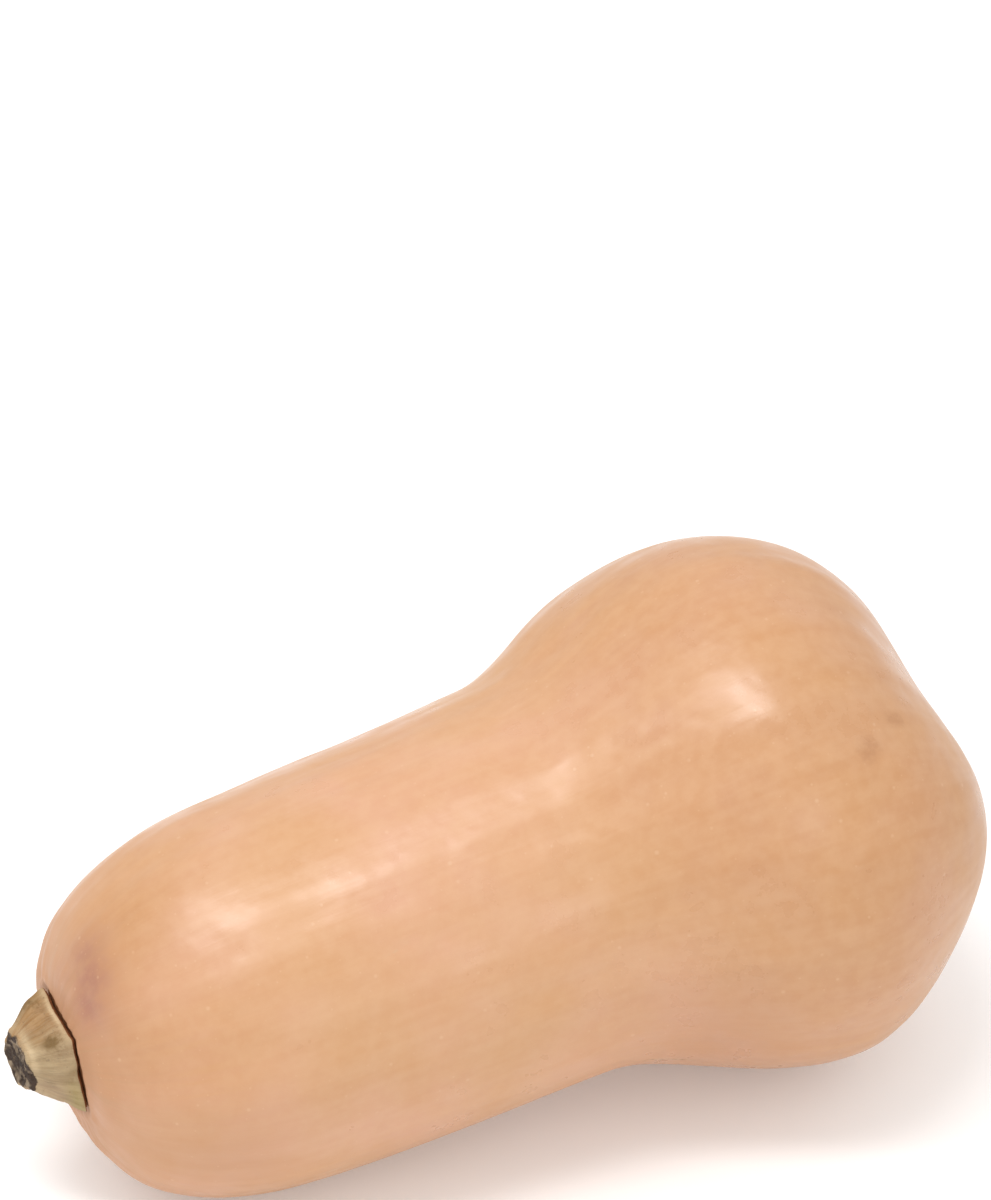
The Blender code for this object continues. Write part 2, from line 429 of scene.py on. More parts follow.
class Effects:
    """The effects that both the rind and the stem use, each a node group made once."""

    def __init__(self) -> None:
        """Makes the groups."""
        self.clouds = self._make_clouds()
        self.specks = self._make_specks()
        self.streaks = self._make_streaks()

    def speck_mask(self, bench: Bench, place: Socket, spread: SpeckSpread) -> Socket:
        """1 inside the specks of one kind, and 0 between them."""
        sizes = {"Spacing": spread.spacing, "Radius": spread.radius, "Share": spread.share}
        return bench.group(self.specks, Place=place, **sizes).outputs["Mask"]

    @staticmethod
    def _new_group(name: str, inputs: dict[str, str], outputs: tuple[str, ...]) -> tuple[Bench, Socket, Socket]:
        """Makes an empty group.

        Args:
            name: Name of the group.
            inputs: Name and socket type of each input.
            outputs: Name of each output, all plain values.

        Returns:
            The group's bench, its input node's sockets and its output node's sockets.
        """
        tree = bpy.data.node_groups.new(name, "ShaderNodeTree")
        for label, kind in inputs.items():
            tree.interface.new_socket(label, in_out="INPUT", socket_type=kind)
        for label in outputs:
            tree.interface.new_socket(label, in_out="OUTPUT", socket_type="NodeSocketFloat")
        bench = Bench(tree)
        return bench, bench.node("NodeGroupInput").outputs, bench.node("NodeGroupOutput").inputs

    def _make_clouds(self) -> bpy.types.NodeTree:
        """Soft mottling at three sizes: Broad, Middle (a third of it) and Fine (a twelfth), each 0 to 1."""
        kinds = {"Place": "NodeSocketVector", "Size": "NodeSocketFloat"}
        bench, given, made = self._new_group("clouds", kinds, ("Broad", "Middle", "Fine"))
        middle_size = bench.math("DIVIDE", given["Size"], 3.1)
        fine_size = bench.math("DIVIDE", given["Size"], 12.3)
        broad = bench.noise(given["Place"], given["Size"], 1.5, 0.45)
        middle = bench.noise(given["Place"], middle_size, 2.5, 0.5)
        fine = bench.noise(given["Place"], fine_size, 3.0, 0.55)
        bench.feed(made["Broad"], bench.step(broad, 0.32, 0.68))
        bench.feed(made["Middle"], bench.step(middle, 0.30, 0.70))
        bench.feed(made["Fine"], bench.step(fine, 0.28, 0.72))
        return bench.tree

    def _make_specks(self) -> bpy.types.NodeTree:
        """Small round specks: Mask is 1 inside those cells' specks whose random number is below Share."""
        kinds = {
            "Place": "NodeSocketVector",
            "Spacing": "NodeSocketFloat",
            "Radius": "NodeSocketFloat",
            "Share": "NodeSocketFloat",
        }
        bench, given, made = self._new_group("specks", kinds, ("Mask",))
        cells = bench.node("ShaderNodeTexVoronoi", feature="F1")
        bench.feed(cells.inputs["Vector"], given["Place"])
        bench.feed(cells.inputs["Scale"], bench.math("DIVIDE", 1.0, given["Spacing"]))
        split = bench.node("ShaderNodeSeparateColor")
        bench.feed(split.inputs[0], cells.outputs["Color"])
        chosen = bench.math("LESS_THAN", split.outputs[0], given["Share"])
        size = bench.total(bench.times(split.outputs[1], 0.9), 0.45)
        reach = bench.times(bench.math("DIVIDE", given["Radius"], given["Spacing"]), size)
        near = bench.math("SUBTRACT", 1.25, bench.math("DIVIDE", cells.outputs["Distance"], reach))
        soft = bench.step(near, 0.0, 0.9)
        bench.feed(made["Mask"], bench.times(soft, chosen))
        return bench.tree

    def _make_streaks(self) -> bpy.types.NodeTree:
        """Lengthwise streaks on a place whose X runs along the piece: Wide, and Thin at a third of its width."""
        kinds = {"Place": "NodeSocketVector", "Width": "NodeSocketFloat"}
        bench, given, made = self._new_group("streaks", kinds, ("Wide", "Thin"))
        wide_place = bench.stretch(given["Place"], 0.16, 1.0, 1.0)
        thin_place = bench.stretch(given["Place"], 0.07, 1.0, 1.0)
        thin_width = bench.math("DIVIDE", given["Width"], 3.0)
        bench.feed(made["Wide"], bench.step(bench.noise(wide_place, given["Width"], 2.0, 0.5), 0.30, 0.70))
        bench.feed(made["Thin"], bench.step(bench.noise(thin_place, thin_width, 3.0, 0.6), 0.30, 0.70))
        return bench.tree


def new_material(name: str) -> tuple[bpy.types.Material, Bench, bpy.types.Node]:
    """Makes a material with only its Principled shader.

    Args:
        name: Name of the material.

    Returns:
        The material, the bench of its node tree, and the shader node.
    """
    material = bpy.data.materials.new(name)
    material.use_nodes = True
    return material, Bench(material.node_tree), material.node_tree.nodes["Principled BSDF"]


@dataclass(frozen=True)
class RindFinish:
    """Satin tan rind with a soft waxy sheen, pinkish and finely veined near the stem.

    Attributes:
        tan: The main colour.
        peach: Pinker colour of the broad mottling.
        honey: More orange colour of the middle mottling and the streaks.
        cream: Pale colour of the bloom and the fine specks.
        deep_tan_and_shade: Browner tan of the bulb, also laid on as painted shade on the bulb's flank turned from the
            lights and round the stem.
        blush: Pinkish brown near the stem.
        vein: Greenish grey of the lines that run out of the stem.
        cork: Dull brown of healed scratches.
        cork_pale: Pale edge of the cork.
        bruise: Brown of the freckles and the soft spots.
        crack_and_shade: Dark brown of the rind under the stem's edge: brown tissue with painted shade in the gap under
            the stem.
        scar: Greyish brown of the blossom scar.
        roughness: Roughness where the rind is clean.
        mottle_size: Size of the broad mottling.
        streak_width: Width of the wide streaks.
        pale_specks: The fine pale specks.
        dust: The finest pale specks, as strong as that share of the others.
        freckles: The few brown freckles.
        relief: Height of the fine relief.
    """

    tan: Colour = screen(199, 151, 110)
    peach: Colour = screen(205, 154, 124)
    honey: Colour = screen(194, 140, 86)
    cream: Colour = screen(220, 184, 150)
    deep_tan_and_shade: Colour = screen(183, 131, 88)
    blush: Colour = screen(162, 108, 88)
    vein: Colour = screen(172, 136, 98)
    cork: Colour = screen(150, 112, 80)
    cork_pale: Colour = screen(196, 162, 128)
    bruise: Colour = screen(160, 108, 68)
    crack_and_shade: Colour = screen(138, 84, 44)
    scar: Colour = screen(132, 100, 72)
    roughness: float = 0.25
    mottle_size: float = 0.042
    streak_width: float = 0.0085
    pale_specks: SpeckSpread = SpeckSpread(spacing=0.0034, radius=0.00040, share=0.40, strength=0.26)
    dust: SpeckSpread = SpeckSpread(spacing=0.0017, radius=0.00020, share=0.45, strength=0.80)
    freckles: SpeckSpread = SpeckSpread(spacing=0.024, radius=0.0010, share=0.16, strength=0.30)
    relief: float = 0.0005

    def build(self, effects: Effects) -> bpy.types.Material:
        """Makes the material.

        Args:
            effects: The shared node groups.

        Returns:
            The material.
        """
        material, bench, shader = new_material("satin_rind")
        here = bench.node("ShaderNodeTexCoord").outputs["Object"]
        skin = bench.layer(Layer.PLACE).outputs["Vector"]
        clouds = bench.group(effects.clouds, Place=here, Size=self.mottle_size)
        streaks = bench.group(effects.streaks, Place=skin, Width=self.streak_width)
        colour = self._mottled(bench, clouds, streaks)
        colour = self._near_stem(bench, colour, skin, streaks, clouds)
        colour, raised = self._specked(bench, colour, effects, here)
        colour, dry = self._marked(bench, colour, here, clouds)
        bench.feed(shader.inputs["Base Color"], colour)
        rough = bench.total(
            bench.times(clouds.outputs["Middle"], 0.13),
            self.roughness,
            bench.times(clouds.outputs["Fine"], 0.05),
            bench.times(bench.layer(Layer.STEM_NEAR).outputs["Fac"], 0.30),
        )
        bench.feed(shader.inputs["Roughness"], bench.largest(rough, bench.times(dry, 0.85)))
        shader.inputs["IOR"].default_value = 1.50
        self._bumped(bench, shader, here, streaks, raised, dry)
        return material

    def _mottled(self, bench: Bench, clouds: bpy.types.Node, streaks: bpy.types.Node) -> Socket:
        """The rind's own colour: tan with peach, honey and cream in soft clouds and lengthwise streaks."""
        colour = bench.blend(bench.times(clouds.outputs["Broad"], 0.85), self.tan, self.peach)
        # The bulb's browner tan, and painted shade on its flank turned from the lights and by the stem.
        colour = bench.blend(bench.layer(Layer.DEEP_TAN_AND_SHADE).outputs["Fac"], colour, self.deep_tan_and_shade)
        colour = bench.blend(bench.times(clouds.outputs["Middle"], 0.34), colour, self.honey)
        colour = bench.blend(bench.times(streaks.outputs["Wide"], 0.13), colour, self.honey)
        richer = bench.step(streaks.outputs["Thin"], 0.0, 1.0, 0.35, 1.0)
        colour = bench.blend(bench.times(bench.layer(Layer.HONEY).outputs["Fac"], richer, 0.75), colour, self.honey)
        colour = bench.blend(bench.times(streaks.outputs["Thin"], 0.10), colour, self.cream)
        return bench.blend(bench.times(clouds.outputs["Fine"], 0.14), colour, self.cream)

    def _near_stem(
        self, bench: Bench, colour: Socket, skin: Socket, streaks: bpy.types.Node, clouds: bpy.types.Node
    ) -> Socket:
        """A browner tone round the stem, partly painted shade, the pinkish brown tone and the fine dull lines that run
        out from the stem.
        """
        near = bench.layer(Layer.STEM_NEAR).outputs["Fac"]
        # Round the stem's foot the rind is browned: partly its own tone, partly painted shade by the stem.
        uneven = bench.step(clouds.outputs["Middle"], 0.0, 1.0, 0.60, 1.0)
        colour = bench.blend(bench.times(near, uneven, 0.80), colour, self.deep_tan_and_shade)
        colour = bench.blend(bench.times(near, 0.18), colour, self.blush)
        patches = bench.layer(Layer.BLUSH).outputs["Fac"]
        broken = bench.step(clouds.outputs["Fine"], 0.0, 1.0, 0.65, 1.0)
        colour = bench.blend(bench.times(patches, broken), colour, self.blush)
        lines = bench.noise(bench.stretch(skin, 0.05, 1.0, 1.0), 0.0055, 1.0, 0.4)
        beside_line = bench.math("ABSOLUTE", bench.math("SUBTRACT", lines, 0.5))
        line = bench.step(beside_line, 0.0, 0.06, 1.0, 0.0)
        fade = bench.step(near, 0.05, 0.60)
        return bench.blend(bench.times(line, fade, streaks.outputs["Wide"], 0.25), colour, self.vein)

    def _specked(self, bench: Bench, colour: Socket, effects: Effects, here: Socket) -> tuple[Socket, Socket]:
        """Fine pale specks all over and a few brown freckles, with the specks' height for the bump."""
        fine = effects.speck_mask(bench, here, self.pale_specks)
        dust = effects.speck_mask(bench, here, self.dust)
        brown = effects.speck_mask(bench, here, self.freckles)
        pale = bench.largest(fine, bench.times(dust, self.dust.strength))
        colour = bench.blend(bench.times(pale, self.pale_specks.strength), colour, self.cream)
        colour = bench.blend(bench.times(brown, self.freckles.strength), colour, self.bruise)
        return colour, fine

    def _marked(self, bench: Bench, colour: Socket, here: Socket, clouds: bpy.types.Node) -> tuple[Socket, Socket]:
        """Healed scratches, soft spots, the blossom scar and the dark band under the stem's edge, brown tissue with
        painted shade, with the mask of all that is dry.
        """
        ragged = bench.noise(here, 0.0016, 2.0, 0.65)
        uneven = bench.total(0.1, bench.times(ragged, 1.8))

        def torn(layer: Layer, low: float, high: float) -> Socket:
            """A mask from one of the mesh's values, with a ragged edge."""
            return bench.step(bench.times(bench.layer(layer).outputs["Fac"], uneven), low, high)

        colour = bench.blend(bench.times(torn(Layer.BRUISE, 0.10, 1.20), 0.42), colour, self.bruise)
        edge = torn(Layer.CORK, 0.25, 0.55)
        heart = torn(Layer.CORK, 0.50, 1.00)
        colour = bench.blend(bench.times(edge, 0.45), colour, self.cork_pale)
        colour = bench.blend(bench.times(heart, 0.65), colour, self.cork)
        scar = torn(Layer.SCAR, 0.38, 0.72)
        ring = bench.total(bench.layer(Layer.SCAR_RADIUS).outputs["Fac"], bench.times(clouds.outputs["Fine"], 0.0011))
        rings = bench.step(bench.math("SINE", bench.times(ring, 3900.0)), -0.8, 0.9)
        corky = bench.blend(bench.times(rings, ragged, 0.55), self.scar, self.cork_pale)
        colour = bench.blend(bench.times(scar, 0.90), colour, corky)
        # The band under the stem's edge: brown tissue with painted shade where the stem's foot overhangs it.
        crack_and_shade = torn(Layer.CRACK_AND_SHADE, 0.45, 0.80)
        return bench.blend(crack_and_shade, colour, self.crack_and_shade), bench.largest(heart, scar, crack_and_shade)

    def _bumped(
        self, bench: Bench, shader: bpy.types.Node, here: Socket, streaks: bpy.types.Node, raised: Socket, dry: Socket
    ) -> None:
        """Fine relief: satin grain, small dimples, lengthwise lines, specks that stand up and rough cork."""
        grain = bench.noise(here, 0.0011, 1.0, 0.6)
        height = bench.total(
            bench.times(grain, 0.020),
            bench.times(bench.noise(here, 0.0060, 1.0, 0.5), 0.42),
            bench.times(streaks.outputs["Thin"], 0.030),
            bench.times(streaks.outputs["Wide"], 0.10),
            bench.times(raised, 0.022),
            bench.times(dry, grain, 0.60),
        )
        bench.bump(shader, height, self.relief)


@dataclass(frozen=True)
class StemFinish:
    """Dry, matt, fibrous stalk with a dark weathered cut.

    Attributes:
        straw: The main colour.
        tan: Browner colour of the upper faces.
        taupe: Greyer colour of the lower faces.
        cream: Pale colour of the ridges, the foot's lip and the rim of the cut.
        green: Yellowish green that is left near the foot.
        olive: Dark olive of weathered patches.
        fibre: Dark colour between the fibres.
        crack_and_shade: Dark brown under the foot's edge: the corky wall's own colour with painted shade under the
            lip.
        cut_dark: Dark of the weathered cut.
        cut_pale: Grey beige flecks on the cut.
        roughness: Roughness where the stalk is smoothest.
        mottle_size: Size of the broad mottling.
        streak_width: Width of the wide streaks.
        pores: The small dark pores.
        relief: Height of the fine relief.
    """

    straw: Colour = screen(168, 146, 110)
    tan: Colour = screen(154, 112, 64)
    taupe: Colour = screen(152, 126, 104)
    cream: Colour = screen(214, 190, 152)
    green: Colour = screen(144, 132, 74)
    olive: Colour = screen(108, 80, 38)
    fibre: Colour = screen(128, 100, 68)
    crack_and_shade: Colour = screen(126, 74, 36)
    cut_dark: Colour = screen(68, 52, 42)
    cut_pale: Colour = screen(178, 156, 128)
    roughness: float = 0.70
    mottle_size: float = 0.012
    streak_width: float = 0.0018
    pores: SpeckSpread = SpeckSpread(spacing=0.0015, radius=0.00020, share=0.35, strength=0.55)
    relief: float = 0.0004

    def build(self, effects: Effects) -> bpy.types.Material:
        """Makes the material.

        Args:
            effects: The shared node groups.

        Returns:
            The material.
        """
        material, bench, shader = new_material("dry_stalk")
        here = bench.node("ShaderNodeTexCoord").outputs["Object"]
        skin = bench.layer(Layer.PLACE).outputs["Vector"]
        clouds = bench.group(effects.clouds, Place=here, Size=self.mottle_size)
        streaks = bench.group(effects.streaks, Place=skin, Width=self.streak_width)
        colour = self._weathered(bench, clouds, streaks)
        pores = effects.speck_mask(bench, here, self.pores)
        colour = bench.blend(bench.times(pores, self.pores.strength), colour, self.fibre)
        colour, cut = self._cut(bench, colour, here, effects)
        # The underside and undercut wall of the foot are painted dark brown: their corky colour and painted shade
        # under the lip.
        wobble = bench.times(bench.math("SUBTRACT", bench.noise(here, 0.0010, 3.0, 0.6), 0.5), 0.7)
        dark = bench.step(bench.total(bench.layer(Layer.UNDERCUT_AND_SHADE).outputs["Fac"], wobble), 0.40, 0.70)
        bench.feed(shader.inputs["Base Color"], bench.blend(dark, colour, self.crack_and_shade))
        rough = bench.total(bench.times(clouds.outputs["Fine"], 0.16), self.roughness)
        bench.feed(shader.inputs["Roughness"], rough)
        shader.inputs["IOR"].default_value = 1.42
        height = bench.total(
            bench.times(streaks.outputs["Thin"], 0.28),
            bench.times(streaks.outputs["Wide"], 0.35),
            bench.times(clouds.outputs["Fine"], 0.30),
            bench.times(pores, -0.25),
            bench.times(cut, bench.noise(here, 0.0008, 4.0, 0.75), 1.2),
        )
        bench.bump(shader, height, self.relief)
        return material

    def _weathered(self, bench: Bench, clouds: bpy.types.Node, streaks: bpy.types.Node) -> Socket:
        """Straw with browner and greyer faces, pale ridges and lip, green at the foot and dark between fibres."""
        facet = bench.layer(Layer.FACET).outputs["Fac"]
        colour = bench.blend(bench.step(facet, 0.45, 1.0), self.straw, self.tan)
        colour = bench.blend(bench.step(facet, 0.55, 0.0), colour, self.taupe)
        colour = bench.blend(bench.times(clouds.outputs["Broad"], 0.30), colour, self.straw)
        colour = bench.blend(bench.times(clouds.outputs["Middle"], 0.20), colour, self.taupe)
        ridge = bench.layer(Layer.RIDGE).outputs["Fac"]
        colour = bench.blend(bench.times(bench.step(ridge, 0.4, 1.0), 0.45), colour, self.cream)
        colour = bench.blend(bench.times(bench.layer(Layer.GREEN).outputs["Fac"], 0.70), colour, self.green)
        colour = bench.blend(bench.times(streaks.outputs["Wide"], 0.40), colour, self.fibre)
        colour = bench.blend(bench.times(streaks.outputs["Thin"], 0.22), colour, self.cream)
        ragged = bench.times(clouds.outputs["Fine"], clouds.outputs["Middle"], 0.45)
        olive = bench.total(bench.layer(Layer.OLIVE).outputs["Fac"], ragged)
        colour = bench.blend(bench.times(bench.step(olive, 0.35, 1.05), 0.85), colour, self.olive)
        lip = bench.layer(Layer.LIP).outputs["Fac"]
        return bench.blend(bench.times(lip, 0.80), colour, self.cream)

    def _cut(self, bench: Bench, colour: Socket, here: Socket, effects: Effects) -> tuple[Socket, Socket]:
        """The dark weathered cut with pale flecks, and the mask of the cut, whose edge is ragged."""
        clouds = bench.group(effects.clouds, Place=here, Size=0.0065)
        wobble = bench.times(bench.math("SUBTRACT", bench.noise(here, 0.0016, 3.0, 0.75), 0.5), 2.2)
        cut = bench.step(bench.total(bench.layer(Layer.CUT).outputs["Fac"], wobble), 0.30, 0.75)
        flecks = bench.step(bench.noise(here, 0.0022, 1.5, 0.5), 0.44, 0.68)
        face = bench.blend(bench.times(flecks, 0.80), self.cut_dark, self.cut_pale)
        face = bench.blend(bench.times(clouds.outputs["Middle"], 0.50), face, self.cut_dark)
        return bench.blend(cut, colour, face), cut


@dataclass(frozen=True)
class FloorFinish:
    """Plain pale floor, nearly white.

    Attributes:
        white: Its colour.
        glow: How much light it gives off, as a lit table does.
        roughness: Its roughness.
    """

    white: Colour = (0.90, 0.90, 0.90, 1.0)
    glow: float = 0.14
    roughness: float = 0.85

    def build(self) -> bpy.types.Material:
        """Makes the material, with a trace of uneven tone as on painted board."""
        material, bench, shader = new_material("pale_floor")
        here = bench.node("ShaderNodeTexCoord").outputs["Object"]
        faint = bench.noise(here, 0.5, 2.0, 0.5)
        shade = (self.white[0] * 0.985, self.white[1] * 0.985, self.white[2] * 0.985, 1.0)
        bench.feed(shader.inputs["Base Color"], bench.blend(faint, self.white, shade))
        shader.inputs["Roughness"].default_value = self.roughness
        shader.inputs["Specular IOR Level"].default_value = 0.2
        shader.inputs["Emission Color"].default_value = (1.0, 1.0, 1.0, 1.0)
        shader.inputs["Emission Strength"].default_value = self.glow
        return material


@dataclass(frozen=True)
class Swell:
    """A broad swell of the bulb, or a hollow where its height is below 0.

    Attributes:
        latitude: Degrees from the bulb's widest ring towards the blossom end.
        angle: Degrees round the axis.
        width: Its spread in degrees, seen from the bulb's centre.
        height: Its height in metres.
    """

    latitude: float
    angle: float
    width: float
    height: float


@dataclass
class SquashForm:
    """The fruit's form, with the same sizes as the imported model, and the way that the squash lies.

    Attributes:
        length: Length along the axis.
        neck_radius: Radius of the neck at neck_place.
        neck_place: Where the neck has that radius.
        neck_taper: How much its radius grows for each metre along it.
        neck_cap: Length of its rounded end.
        neck_cap_power: How square that end is.
        waist_place: Where the bulb starts to swell.
        bulb_radius: Radius of the bulb.
        bulb_place: Where the bulb is widest.
        bulb_rise_power: How late the bulb swells, where it is above 1.
        bulb_fall_power: How late the bulb closes.
        crest_rounding: How softly the swelling passes into the closing.
        blossom_bend: Degrees that the blossom end is turned.
        blossom_bend_angle: Degrees round the axis of the side that it turns to.
        swells: The swells and hollows of the bulb.
        rib_count: Number of ribs near the stem.
        rib_height: Their height.
        rib_angle: Degrees round the axis of one of them.
        rib_reach: Where along the axis they start to fade, and where they end.
        lobe_count: Number of lobes near the blossom end.
        lobe_height: Their height.
        lobe_angle: Degrees round the axis of one of them.
        lobe_reach: Where along the axis they start, and where they are full.
        seat_radius: Radius of the level seat under the stem.
        seat_fade: Radius at which the seat has passed into the round end.
        seat_offset: How far the seat lies off the axis.
        seat_offset_fade: How quickly that offset fades outwards.
        seat_angle: Degrees round the axis of the side that it is moved to.
        seat_tilt: Slope of the seat.
        seat_tilt_angle: Degrees round the axis of the side that it slopes to.
        scar_radius: Radius of the blossom scar's dimple.
        scar_depth: Its depth.
        scar_rim_radius: Radius of the low rim round it.
        scar_rim_height: Height of that rim.
        scar_rim_width: Width of that rim.
        gap: Gap between the seat and the stem.
        rest_sink: How much of the round is pressed level where it rests.
        cad_rings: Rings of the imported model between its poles.
        cad_segments: Points round each of its rings.
        cad_end_density: How much closer its rings are at the ends.
        lean: The angle, in radians, that the narrow end is tipped down by.
        shift: The move from the squash's own frame to where it lies.
    """

    length: float = 0.206
    neck_radius: float = 0.0424
    neck_place: float = 0.060
    neck_taper: float = 0.0275
    neck_cap: float = 0.046
    neck_cap_power: float = 3.85
    waist_place: float = 0.107
    bulb_radius: float = 0.060
    bulb_place: float = 0.1575
    bulb_rise_power: float = 0.95
    bulb_fall_power: float = 1.75
    crest_rounding: float = 0.04
    blossom_bend: float = 13.0
    blossom_bend_angle: float = -120.0
    swells: tuple[Swell, ...] = (
        Swell(latitude=40, angle=13, width=32, height=0.0016),
        Swell(latitude=60, angle=-19, width=36, height=-0.0074),
        Swell(latitude=42, angle=-82, width=34, height=0.0062),
        Swell(latitude=-30, angle=44, width=18, height=0.0023),
        Swell(latitude=6, angle=36, width=24, height=-0.0012),
    )
    rib_count: int = 10
    rib_height: float = 0.00032
    rib_angle: float = 27.0
    rib_reach: tuple[float, float] = (0.012, 0.075)
    lobe_count: int = 5
    lobe_height: float = 0.0006
    lobe_angle: float = 10.0
    lobe_reach: tuple[float, float] = (0.150, 0.190)
    seat_radius: float = 0.014
    seat_fade: float = 0.025
    seat_offset: float = 0.0036
    seat_offset_fade: float = 1.5
    seat_angle: float = 42.0
    seat_tilt: float = 0.10
    seat_tilt_angle: float = -19.0
    scar_radius: float = 0.0045
    scar_depth: float = 0.0009
    scar_rim_radius: float = 0.0068
    scar_rim_height: float = 0.0003
    scar_rim_width: float = 0.0022
    gap: float = 0.0003
    rest_sink: float = 0.0012
    cad_rings: int = 52
    cad_segments: int = 70
    cad_end_density: float = 0.05
    lean: float = field(init=False)
    shift: Array = field(init=False)

    def __post_init__(self) -> None:
        """Works out how far the squash leans and where it lies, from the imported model's own rings."""
        coarse = self.surface(*self.stations(self.cad_rings, self.cad_segments, self.cad_end_density))
        self.lean = self._lean_on_ground(coarse)
        upward = np.array((math.sin(self.lean), 0.0, math.cos(self.lean)))
        height = coarse @ upward
        pressed = coarse + np.maximum(height.min() + self.rest_sink - height, 0.0)[..., None] * upward
        low = (pressed.reshape(-1, 3) @ self._turn().T).min(axis=0)
        self.shift = np.array(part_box("fruit")[0]) - low

    def radius(self, along: Array) -> Array:
        """Radius of the plain fruit at distances along its axis.

        The neck is a round-ended cylinder that widens slowly. Past the waist an S-shaped curve takes the radius up
        to the bulb's, and past the bulb's widest ring it closes round.

        Args:
            along: Distances from the stem end.

        Returns:
            The radii.
        """
        cap = np.clip(along / self.neck_cap, 0.0, 1.0)
        neck = self.neck_radius + self.neck_taper * (along - self.neck_place)
        neck = neck * (1.0 - (1.0 - cap) ** 2) ** (1.0 / self.neck_cap_power)
        rise = np.clip((along - self.waist_place) / (self.bulb_place - self.waist_place), 0.0, 1.0)
        stem_side = neck + (self.bulb_radius - neck) * smooth_step(rise**self.bulb_rise_power)
        share = np.clip((along - self.bulb_place) / (self.length - self.bulb_place), 0.0, 1.0) ** 2
        power = self.bulb_fall_power / 2.0
        start = self.crest_rounding**power
        fall = ((share + self.crest_rounding) ** power - start) / ((1.0 + self.crest_rounding) ** power - start)
        blossom_side = self.bulb_radius * np.sqrt(np.maximum(1.0 - fall, 0.0))
        return np.where(along < self.bulb_place, stem_side, blossom_side)

    def stations(self, rings: int, segments: int, end_density: float) -> tuple[Array, Array]:
        """Distances along the axis at even steps along the skin, closer at both ends, and angles round it.

        Args:
            rings: Number of rings between the two poles.
            segments: Number of points round each ring.
            end_density: How much closer the rings are at the ends.

        Returns:
            A column of distances and a row of angles.
        """
        fine = 0.5 * self.length * (1.0 - np.cos(np.linspace(0.0, math.pi, 4001)))
        travelled = np.concatenate(((0.0,), np.cumsum(np.hypot(np.diff(fine), np.diff(self.radius(fine))))))
        share = np.linspace(0.0, 1.0, rings + 2)
        share = share - end_density * np.sin(2.0 * math.pi * share)
        along = np.interp(share * travelled[-1], travelled, fine)
        angle = np.linspace(0.0, 2.0 * math.pi, segments, endpoint=False)
        return along[:, None], angle[None, :]

    def surface(self, along: Array, angle: Array) -> Array:
        """Points of the fruit's skin in its own frame: the turned outline with its ribs, lobes, scar, bend and swells.

        Args:
            along: A column of distances along the axis.
            angle: A row of angles round it.

        Returns:
            The grid of points.
        """
        plain = self.radius(along)
        radius = plain + self._ribs_and_lobes(along, angle) * smooth_step(plain / self.neck_radius)
        x = along - np.where(along > self.bulb_place, self._blossom_scar(plain), 0.0)
        grid = np.broadcast_arrays(x, radius * np.sin(angle), radius * np.cos(angle))
        points = self._swollen(self._bent(np.stack(grid, axis=-1), along))
        in_cap = along < self.neck_cap
        keep = smooth_step((plain - self.seat_radius) / (self.seat_fade - self.seat_radius))
        lean_in = np.clip(1.0 - along / self.neck_cap, 0.0, 1.0) * (points @ side_vector(self.seat_tilt_angle))
        points[..., 0] = points[..., 0] * np.where(in_cap, keep, 1.0) + self.seat_tilt * lean_in
        nearness = np.where(in_cap, np.clip(1.0 - (plain / self.neck_radius) ** 2, 0.0, 1.0), 0.0)
        offset = self.seat_offset * nearness[..., None] ** self.seat_offset_fade
        return points + offset * side_vector(self.seat_angle)

    def laid_down(self, points: Array) -> Array:
        """Turns points of the squash's own frame to where it lies, pressed softly flat where they meet the ground."""
        placed = points @ self._turn().T + self.shift
        z = placed[..., 2]
        placed[..., 2] = 0.5 * (z + np.sqrt(z * z + 0.0002**2))
        return placed

    def stem_frame(self) -> tuple[Array, Array]:
        """The stem's place on the seat.

        Returns:
            The middle of the stem's foot, and the columns of its frame: towards the side that the seat is moved to,
            square to that, and out of the fruit.
        """
        side = side_vector(self.seat_angle)
        out = np.array((-1.0, 0.0, 0.0)) + self.seat_tilt * side_vector(self.seat_tilt_angle)
        out /= np.linalg.norm(out)
        across = side - side.dot(out) * out
        across /= np.linalg.norm(across)
        columns = np.stack((across, np.cross(out, across), out), axis=1)
        return self.seat_offset * side + self.gap * out, columns

    def _turn(self) -> Array:
        """The turn about Y that tips the narrow end down."""
        cos, sin = math.cos(self.lean), math.sin(self.lean)
        return np.array(((cos, 0.0, -sin), (0.0, 1.0, 0.0), (sin, 0.0, cos)))

    def _ribs_and_lobes(self, along: Array, angle: Array) -> Array:
        """Height of the ribs near the stem and of the lobes near the blossom end, cosines of the angle that fade."""
        rib_fade = 1.0 - smooth_step((along - self.rib_reach[0]) / (self.rib_reach[1] - self.rib_reach[0]))
        ribs = self.rib_height * np.cos(self.rib_count * (angle - math.radians(self.rib_angle))) * rib_fade
        lobe_rise = smooth_step((along - self.lobe_reach[0]) / (self.lobe_reach[1] - self.lobe_reach[0]))
        lobes = self.lobe_height * np.cos(self.lobe_count * (angle - math.radians(self.lobe_angle))) * lobe_rise
        return ribs + lobes

    def _blossom_scar(self, radius: Array) -> Array:
        """How far the blossom end is drawn in: a dimple inside a low rim."""
        dimple = self.scar_depth * np.exp(-((radius / self.scar_radius) ** 4))
        return dimple - self.scar_rim_height * bell(radius - self.scar_rim_radius, self.scar_rim_width)

